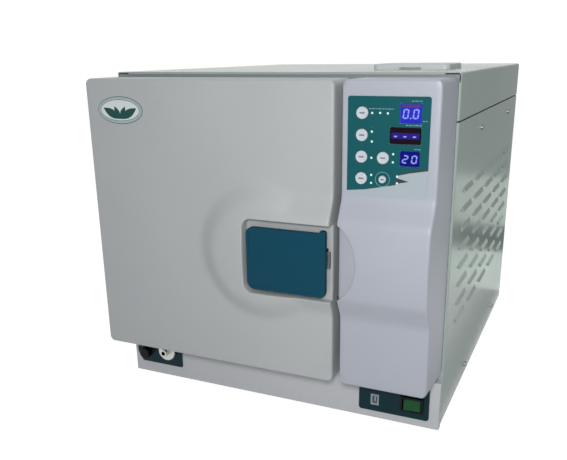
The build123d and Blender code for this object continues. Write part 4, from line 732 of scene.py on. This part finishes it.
class AUTOCLAVE_OT_handle(bpy.types.Operator):
    """Model the pull handle with its raised rim, ear and barrel"""

    bl_idname = "autoclave.handle"
    bl_label = "Handle"

    def execute(self, context):
        low, high = corners("door_handle")
        pin_low, pin_high = corners("handle_pin")
        top, nub = high.z - 3.5, high.x - 8
        front, back = low.y, low.y + 6

        def corner(x, z):
            return lambda e: runs("y")(e) and hypot(ends(e)[0].x - x, ends(e)[0].z - z) < 0.1

        paddle = cuboid("handle_paddle", (low.x, front, low.z), (high.x, back, high.z))
        above = cuboid("above", (low.x - 5, front - 5, top), (nub, back + 5, high.z + 5))
        bevel(above, corner(nub, top), 2, 4)
        carve(paddle, above)
        for x, z, radius, segments in ((low.x, top, 10, 8), (low.x, low.z, 11, 8), (high.x, low.z, 8, 7),
                                       (high.x, high.z, 3, 5), (nub, high.z, 1.4, 3)):
            bevel(paddle, corner(x, z), radius, segments)
        bevel(paddle, lies_on_y(front), 1.2, 4)
        field = cuboid("field", (low.x + 4, front - 3, low.z + 4), (high.x - 4, front + 0.4, top - 4))
        bevel(field, runs("y"), 6.5, 7)
        carve(paddle, field)
        bevel(paddle, lambda e: lies_on_y(front)(e) and all(low.x + 3.5 < p.x < high.x - 3.5
              and low.z + 3.5 < p.z < top - 3.5 for p in ends(e)), 0.35, 2)
        barrel_low, barrel_high = pin_low.z + 4.5, pin_high.z - 4.5
        deselect()
        bpy.ops.mesh.primitive_cylinder_add(
            vertices=48, radius=5 * MM, depth=(barrel_high - barrel_low) * MM,
            location=at((pin_low.x + pin_high.x) / 2, (pin_low.y + pin_high.y) / 2,
                        (barrel_low + barrel_high) / 2))
        barrel = settle("barrel")
        bevel(barrel, lambda e: abs(ends(e)[0].z - ends(e)[1].z) < 0.01, 0.5, 2)
        paddle = merge("handle_paddle", [paddle, barrel])
        soften(paddle, 30)
        plastic = moulded_abs("moulded_abs_handle", colours().handle, 0.33, 0.8, 0.00003, 0.12)
        hand_over(paddle, "handle", "handle_teal", plastic, "door_handle")
        return {"FINISHED"}


# Seven-segment figures: which of the segments a to g are lit
SEGMENTS = {"0": "abcdef", "2": "abged", "-": "g"}
# The display windows from top to bottom: left, right, low and high edge
DISPLAYS = ((196.9, 221.9, 429.4, 452.4), (185.3, 222.1, 406.0, 425.3), (198.2, 221.5, 380.8, 398.6))
# Their filters' colour, and the colour and strength of the glow behind
GLOWS = (("16185C", "2830D0", 0.7), ("0C0810", "300C2C", 0.16), ("06084A", "0C0E96", 0.45))
# Brighter bands in the upper two: colour, strength, and where they start and stop as shares of the height
BANDS = (("7A58B0", 0.4, 0.78, 0.95), ("3414B4", 0.42, 0.32, 0.68))
# Their figures with each one's shift from the left, and their rise, width, height and thickness
FIGURES = (
    ((("0", 2.6), ("0", 14.2)), 5.4, 6.8, 11.2, 1.6),
    ((("-", 3.0), ("-", 14.0), ("-", 25.0)), 4.4, 7.0, 9.0, 1.6),
    ((("2", 2.4), ("0", 13.0)), 3.6, 6.8, 9.8, 1.6),
)


def figure(mark, x, z, width, height, y, thick, slant=0.12):
    """One slanted seven-segment figure with its lower left corner at x, z."""
    half = height / 2
    places = {
        "a": (x + thick, x + width - thick, z + height - thick, z + height),
        "g": (x + thick, x + width - thick, z + half - thick / 2, z + half + thick / 2),
        "d": (x + thick, x + width - thick, z, z + thick),
        "f": (x, x + thick, z + half + 0.3, z + height - thick / 2),
        "b": (x + width - thick, x + width, z + half + 0.3, z + height - thick / 2),
        "e": (x, x + thick, z + thick / 2, z + half - 0.3),
        "c": (x + width - thick, x + width, z + thick / 2, z + half - 0.3),
    }
    bars = []
    for segment in SEGMENTS[mark]:
        x0, x1, z0, z1 = places[segment]
        bar = cuboid("segment", (x0, y, z0), (x1, y + 0.12, z1))
        bevel(bar, runs("y", 0.05), min(x1 - x0, z1 - z0) * 0.35, 2)
        for vertex in bar.data.vertices:
            point = mm(vertex.co)
            vertex.co = at(point.x + slant * (point.z - z), point.y, point.z)
        bars.append(bar)
    return bars


class AUTOCLAVE_OT_displays(bpy.types.Operator):
    """Model the three display windows with their lit figures"""

    bl_idname = "autoclave.displays"
    bl_label = "Displays"

    def execute(self, context):
        low, high = corners("display_windows")
        y = low.y
        for number, (edges, (code, glow, strength)) in enumerate(zip(DISPLAYS, GLOWS), 1):
            left, right, bottom, top = edges
            window = cuboid(f"display_{number}", (left + 0.1, y, bottom + 0.1),
                            (right - 0.1, high.y, top - 0.1))
            bevel(window, runs("y"), 1.0, 3)
            bevel(window, lies_on_y(y), 0.3, 2)
            hand_over(window, "cabinet", "display_dark",
                      tinted_filter(f"display_filter_{number}", code, glow, strength), "display_windows")
        for number, (edges, (code, glow, start, stop)) in enumerate(zip(DISPLAYS, BANDS), 1):
            left, right, bottom, top = edges
            height = top - bottom
            band = cuboid(f"display_band_{number}", (left + 2, y - 0.04, bottom + start * height),
                          (right - 2, y + 0.1, bottom + stop * height))
            bevel(band, runs("y", 0.05), 1.2, 3)
            hand_over(band, "cabinet", "display_dark", lit_segment(f"lit_band_{number}", code, glow))
        figures = []
        for (left, _, bottom, _), (marks, rise, width, height, thick) in zip(DISPLAYS, FIGURES):
            for mark, shift in marks:
                figures += figure(mark, left + shift, bottom + rise, width, height, y - 0.1, thick)
        left, _, bottom, _ = DISPLAYS[0]
        figures.append(drum("point", (left + 12.2, bottom + 6.1), 0.9, y - 0.1, y + 0.02, 16))
        hand_over(merge("display_figures", figures), "cabinet", "display_dark",
                  lit_segment("lit_figures", colours().digits, 0.9))
        return {"FINISHED"}


# The lower lamps, which shine through the printed areas, and their holes' radius
LOW_LAMPS = ((164.5, 359.4), (195.9, 368.9), (196.0, 360.9), (164.4, 368.9))
LAMP_HOLE = 1.35
# Label lines on the film, from X to X and their Z, and the marks that each is broken into
LABELS = ((159.7, 189.3, 445.4), (209.7, 222.0, 454.6), (223.2, 228.6, 432.6), (204.0, 222.2, 427.7),
          (215.0, 222.4, 401.0))
LABEL_MARKS, LABEL_GAP, LABEL_HALF = (2.6, 3.8, 1.9, 4.4, 3.1, 2.2, 4.0, 3.0), 0.8, 0.45
# The ring printed round the start key: outer and inner radius
RING = (8.9, 8.3)
# How far the print stands in front of its film
PRINT = 0.05


def screen_print(name, code, roughness=0.35, gloss=0.5):
    """Screen-printed ink on a film or plate: smooth, even and slightly glossy."""
    return moulded_abs(name, code, roughness, 0.4, 0.00001, gloss)


class AUTOCLAVE_OT_film(bpy.types.Operator):
    """Model the printed areas and the label lines of the keypad film"""

    bl_idname = "autoclave.film"
    bl_label = "Keypad film"

    def execute(self, context):
        low, high = corners("keypad_sheet")
        y0, y1 = low.y - PRINT, low.y + PRINT
        left, right, bottom = low.x - PRINT, high.x + PRINT, low.z - PRINT
        # Each area is drawn as convex tablets, from the front and anticlockwise.
        white = [
            [(left, bottom), (156.3, bottom), (156.3, 351.0), (left, 348.9)],
            [(156.3, bottom), (194.5, bottom), (194.5, 358.7), (156.3, 351.0)],
            [(194.5, bottom), (right, bottom), (right, 377.1), (210.6, 373.3), (198.3, 370.2),
             (194.5, 367.6)],
        ]
        black = [
            [(left, 348.9), (156.3, 351.0), (156.3, 351.8), (left, 349.7)],
            [(156.3, 351.0), (194.5, 358.7), (194.5, 359.6), (156.3, 351.8)],
            [(198.3, 370.2), (210.6, 373.3), (210.6, 375.0), (199.0, 371.8)],
            [(210.6, 373.3), (right, 377.1), (right, 378.9), (210.6, 375.0)],
        ]
        wedge = [[(194.2, 360.0), (210.2, 363.4), (194.2, 367.2)]]
        inks = (("film_white", white, "A6B0B6", 0.0), ("film_black", black, "10161C", 0.01),
                ("film_wedge", wedge, "10161C", -0.04))
        for name, areas, code, lift in inks:
            parts = []
            for area in areas:
                part = tablet("area", area, y0 + lift, high.y if name == "film_white" else y1 + lift)
                holes = [drum("hole", key_centre(n), key_radius(n) + KEY_GAP, y0 - 2, y1 + 2, 48)
                         for n in ("key_stop", "key_start")]
                holes += [drum("hole", centre, LAMP_HOLE, y0 - 2, y1 + 2, 24) for centre in LOW_LAMPS]
                carve(part, *holes)
                if (left, bottom) in area or (right, bottom) in area:
                    bevel(part, lambda e: runs("y", 0.2)(e) and abs(ends(e)[0].z - bottom) < 0.01
                          and min(abs(ends(e)[0].x - left), abs(ends(e)[0].x - right)) < 0.01, 3, 5)
                parts.append(part)
            hand_over(merge(name, parts), "cabinet", "keypad_film",
                      screen_print(f"screen_print_{name[5:]}", code, 0.34))
        lines = []
        for x0, x1, z in LABELS:
            x = x0
            for width in LABEL_MARKS:
                end = min(x + width, x1)
                if end - x > LABEL_GAP:
                    line = cuboid("line", (x, y0, z - LABEL_HALF), (end, y1, z + LABEL_HALF))
                    bevel(line, runs("y", 0.05), 0.25, 2)
                    lines.append(line)
                x = end + LABEL_GAP
        lines.append(cuboid("line", (163.5, y0, 424.0), (163.9, y1, 425.5)))
        centre = key_centre("key_start")
        ring = drum("ring", centre, RING[0], y0, y1, 64)
        carve(ring, drum("hole", centre, RING[1], y0 - 1, y1 + 1, 64))
        lines.append(ring)
        hand_over(merge("film_labels", lines), "cabinet", "keypad_film",
                  screen_print("screen_print_labels", "6E9CA4", 0.4))
        return {"FINISHED"}


# The badge's leaves: angle, length and width
LEAVES = ((152, 31, 11), (118, 19, 7.5), (62, 19, 7.5), (28, 31, 11))


class AUTOCLAVE_OT_badge(bpy.types.Operator):
    """Model the oval badge with a plain leaf emblem"""

    bl_idname = "autoclave.badge"
    bl_label = "Badge"

    def execute(self, context):
        low, high = corners("badge_plate")
        x, z = (low.x + high.x) / 2, (low.z + high.z) / 2
        half_width, half_height = (high.x - low.x) / 2, (high.z - low.z) / 2
        y = low.y
        body = oval("badge_body", (x, z), half_width, half_height, y + 0.3, high.y)
        bevel(body, lies_on_y(y + 0.3), 0.5, 3)
        hand_over(body, "door", "badge_print", moulded_abs("badge_edge", "56646E", 0.3, 0.5, 0.00001),
                  "badge_plate")
        rim = oval("badge_rim", (x, z), half_width - 1.1, half_height - 1.1, y + 0.1, y + 0.5)
        bevel(rim, lies_on_y(y + 0.1), 0.15, 2)
        hand_over(rim, "door", "badge_print", screen_print("badge_silver_print", "A3B6B8"))
        line = oval("badge_line", (x, z), half_width - 4.6, half_height - 4.2, y + 0.04, y + 0.4)
        bevel(line, lies_on_y(y + 0.04), 0.1, 2)
        hand_over(line, "door", "badge_print", screen_print("badge_dark_line", "33434C"))
        field = oval("badge_field", (x, z), half_width - 5.3, half_height - 4.8, y, y + 0.3)
        bevel(field, lies_on_y(y), 0.1, 2)
        hand_over(field, "door", "badge_print", screen_print("badge_white_field", "D9DEDD", 0.3))
        root = (x, z - half_height * 0.62)
        emblem, *leaves = [leaf("leaf", root, *shape, y - PRINT, y + 0.2) for shape in LEAVES]
        carve(emblem, *leaves, operation="UNION")
        emblem.name = emblem.data.name = "badge_leaves"
        hand_over(emblem, "door", "badge_print", screen_print("badge_leaf_green", "0F4A44", 0.35, 0.2))
        return {"FINISHED"}


# The studio: strength of the light from all round, and of the white that the floor shows to the camera
AMBIENT = 0.34
FLOOR_GLOW = 0.82
# Parts of the room that only the glossy side panel mirrors: boxes in millimetres and their brightness
ROOM = (
    ("room_wall", (280, 1246, 150), (1800, 1250, 1200), 0.42),
    ("room_skirting", (280, 1246, 3), (1800, 1250, 150), 0.95),
    ("room_far_floor", (262, 960, 1), (900, 1240, 2), 0.12),
    ("room_mid_floor", (262, 640, 1), (900, 960, 2), 1.2),
    ("room_near_floor", (262, -100, 1), (322, 640, 2), 0.45),
)
# Lamps: name, place in metres, watts and size
LAMPS = (("flash", (0.4, -1.15, 0.6), 5.9, 0.14), ("top", (-0.1, 0.5, 2.2), 5.5, 1.2))


# The camera: place in millimetres, turn, tilt and roll in degrees, focal length and shifts
CAMERA_PLACE, CAMERA_YAW, CAMERA_PITCH, CAMERA_ROLL = (406.04, -843.57, 507.33), 24.48, 17.69, -0.712
CAMERA_LENS, CAMERA_SHIFT_X, CAMERA_SHIFT_Y = 43.19, -0.0089, 0.0708


def seen_directly(tree):
    """1 for camera, glossy and transmission rays, which show the white background, and 0 for the rest."""
    path = add(tree, "ShaderNodeLightPath")
    seen = path.outputs["Is Camera Ray"]
    for ray in ("Is Glossy Ray", "Is Transmission Ray"):
        seen = add(tree, "ShaderNodeMath", {0: seen, 1: path.outputs[ray]}, operation="MAXIMUM").outputs[0]
    return seen


class AUTOCLAVE_OT_stage(bpy.types.Operator):
    """Set up the floor, the lamps, the world and the camera"""

    bl_idname = "autoclave.stage"
    bl_label = "Stage"

    def execute(self, context):
        scene = context.scene
        scene.view_settings.view_transform = "Standard"
        deselect()
        bpy.ops.mesh.primitive_plane_add(size=8, location=(0, 1.2, 0))
        floor = context.object
        floor.name = "floor"
        material, tree = blank("pale_floor")
        matt = add(tree, "ShaderNodeBsdfDiffuse", {"Color": linear(colours().floor)})
        share = add(tree, "ShaderNodeMath", {0: seen_directly(tree), 1: FLOOR_GLOW}, operation="MULTIPLY")
        glow = add(tree, "ShaderNodeEmission", {"Color": (1, 1, 1, 1), "Strength": share.outputs[0]})
        close(tree, add(tree, "ShaderNodeAddShader", {0: matt.outputs[0], 1: glow.outputs[0]}))
        floor.data.materials.append(material)

        for name, low, high, strength in ROOM:
            room, tree = blank(name)
            colour = (0.88, 1.0, 0.92, 1)
            close(tree, add(tree, "ShaderNodeEmission", {"Color": colour, "Strength": strength}))
            card = cuboid(name, low, high)
            card.data.materials.append(room)
            card.visible_camera = card.visible_diffuse = False
            card.visible_shadow = card.visible_transmission = False

        world = bpy.data.worlds.new("studio")
        scene.world = world
        world.use_nodes = True
        tree = world.node_tree
        tree.nodes.clear()
        soft = add(tree, "ShaderNodeBackground", {"Color": linear("F4F7FF"), "Strength": AMBIENT})
        white = add(tree, "ShaderNodeBackground", {"Color": (1, 1, 1, 1), "Strength": 1.0})
        mixed = add(tree, "ShaderNodeMixShader", {0: seen_directly(tree), 1: soft.outputs[0],
                                                  2: white.outputs[0]})
        add(tree, "ShaderNodeOutputWorld", {"Surface": mixed.outputs[0]})

        for name, place, power, size in LAMPS:
            lamp = bpy.data.lights.new(name, "AREA")
            lamp.energy = power
            lamp.size = size
            holder = bpy.data.objects.new(name, lamp)
            holder.location = place
            aim = Vector((0, -0.25, 0.25)) - Vector(place)
            holder.rotation_euler = aim.to_track_quat("-Z", "Y").to_euler()
            scene.collection.objects.link(holder)

        camera = bpy.data.cameras.new("camera")
        camera.sensor_width = 36
        camera.lens = CAMERA_LENS
        camera.shift_x = CAMERA_SHIFT_X
        camera.shift_y = CAMERA_SHIFT_Y
        camera.clip_start = 0.05
        camera.clip_end = 30
        eye = bpy.data.objects.new("camera", camera)
        yaw, pitch, roll = radians(CAMERA_YAW), radians(CAMERA_PITCH), radians(CAMERA_ROLL)
        forward = Vector((-sin(yaw) * cos(pitch), cos(yaw) * cos(pitch), -sin(pitch)))
        across = Vector((cos(yaw), sin(yaw), 0))
        upward = across.cross(forward)
        right = cos(roll) * across + sin(roll) * upward
        up = -sin(roll) * across + cos(roll) * upward
        eye.rotation_euler = Matrix((right, up, -forward)).transposed().to_euler()
        eye.location = at(*CAMERA_PLACE)
        scene.collection.objects.link(eye)
        scene.camera = eye
        return {"FINISHED"}


class AUTOCLAVE_OT_finishes(bpy.types.Operator):
    """Give every CAD node that shows its finish"""

    bl_idname = "autoclave.finishes"
    bl_label = "Finishes"

    def execute(self, context):
        chosen = colours()
        paint_with(baked_enamel("baked_enamel_cabinet", chosen.enamel), "top_cover", "side_panel_left",
                   "side_panel_right")
        paint_with(baked_enamel("baked_enamel_kick", "C4C6C8", 0.36), "kick_panel", "door_back_cover")
        paint_with(rolled_steel("galvanised_sheet", "9A9FA2", 0.4), "chassis_base", "back_panel",
                   "chamber_cradles")
        # The bulkhead's grey is darker than its galvanised steel: painted shade for the gaps round door and
        # housing, through which it shows.
        paint_with(baked_enamel("bulkhead_enamel_painted_shade", "8A9294", 0.4), "front_bulkhead")
        paint_with(vulcanised_rubber("vulcanised_rubber_foot", "151515"), "feet")
        paint_with(vulcanised_rubber("silicone_seal", "C4C0B6", 0.5), "door_gasket")
        paint_with(plated("zinc_plated_screw", "9A9C9A", 0.3), "panel_screws", "handle_pin", "lid_hinge")
        paint_with(moulded_abs("moulded_grey_socket", "8C969E", 0.4, 0.8), "data_port")
        paint_with(plated("dark_plated_hook", "6E7478", 0.32), "latch_hook")
        paint_with(turned_aluminium("turned_aluminium_plate", "B8BABC"), "pressure_plate")
        paint_with(rolled_steel("rolled_steel_frame", "8C9094", 0.38), "door_frame", "hinge_arms",
                   "hinge_brackets", "door_keeper", "plate_spindle", "lock_body", "lock_bolt")
        paint_with(rolled_steel("polished_chamber_steel", "C2C4C4", 0.24, (40.0, 1.0, 40.0)),
                   "chamber_vessel", "tray_rack")
        paint_with(rolled_steel("anodised_tray", "C6C8CA", 0.36, (1.0, 30.0, 30.0)), "trays")
        paint_with(wool_blanket("glass_wool_blanket", "C8C2B0"), "insulation_jacket")
        paint_with(screen_print("printed_film", chosen.film, 0.3, 0.12), "keypad_sheet")
        paint_with(screen_print("printed_plate", chosen.plate, 0.3, 0.12), "drain_plate", "switch_plate")
        paint_with(lit_segment("lamp_lens", "D8FFF6", 1.0), "indicator_lamps")
        paint_with(moulded_abs("lacquered_board", "1B5A32", 0.3, 2.0), "control_board")
        paint_with(moulded_abs("moulded_black_nylon", "0A0C0D", 0.4, 0.8, 0.00004, 0.12), "drain_knob",
                   "switch_bezel", "power_inlet")
        paint_with(plated("nickel_plated_coupling", "B9BBB4", 0.3), "drain_coupling")
        paint_with(moulded_abs("moulded_green_rocker", chosen.rocker, 0.28, 0.7, 0.00002, 0.18),
                   "power_rocker")
        paint_with(moulded_abs("moulded_milky_tank", "D8D8CC", 0.5), "clean_tank", "used_tank")
        paint_with(moulded_abs("moulded_grey_lid", "CAD0CF", 0.42), "filler_lid")
        paint_with(rolled_steel("boiler_steel", "9C9A96", 0.34), "steam_generator", "condenser")
        paint_with(moulded_abs("enamelled_pump", "343A40", 0.45), "vacuum_pump")
        paint_with(moulded_abs("moulded_black_fan", "18191A", 0.5), "fan_housing", "fan_rotor")
        paint_with(plated("plain_brass", "C9A557", 0.26), "valve_block", "safety_valve")
        paint_with(plated("drawn_copper", "C97B4E", 0.28), "steam_pipes")
        return {"FINISHED"}


class AUTOCLAVE_PT_pieces(bpy.types.Panel):
    """Lists the autoclave's pieces and settings"""

    bl_idname = "AUTOCLAVE_PT_pieces"
    bl_label = "Autoclave"
    bl_space_type = "VIEW_3D"
    bl_region_type = "UI"
    bl_category = "Autoclave"

    def draw(self, context):
        for operator in OPERATORS:
            self.layout.operator(operator.bl_idname)
        for group in (context.scene.autoclave_sizes, context.scene.autoclave_colours):
            for name in group.__annotations__:
                self.layout.prop(group, name)


OPERATORS = (
    AUTOCLAVE_OT_stage,
    AUTOCLAVE_OT_finishes,
    AUTOCLAVE_OT_door_shell,
    AUTOCLAVE_OT_housing_shell,
    AUTOCLAVE_OT_handle,
    AUTOCLAVE_OT_keys,
    AUTOCLAVE_OT_displays,
    AUTOCLAVE_OT_film,
    AUTOCLAVE_OT_badge,
)
CLASSES = (AutoclaveSizes, AutoclaveColours, *OPERATORS, AUTOCLAVE_PT_pieces)


def register():
    for cls in CLASSES:
        bpy.utils.register_class(cls)
    bpy.types.Scene.autoclave_sizes = bpy.props.PointerProperty(type=AutoclaveSizes)
    bpy.types.Scene.autoclave_colours = bpy.props.PointerProperty(type=AutoclaveColours)


def unregister():
    del bpy.types.Scene.autoclave_colours
    del bpy.types.Scene.autoclave_sizes
    for cls in reversed(CLASSES):
        bpy.utils.unregister_class(cls)


def main():
    register()
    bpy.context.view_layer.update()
    for operator in OPERATORS:
        group, name = operator.bl_idname.split(".")
        getattr(getattr(bpy.ops, group), name)()
    deselect()


if __name__ == "__main__":
    main()
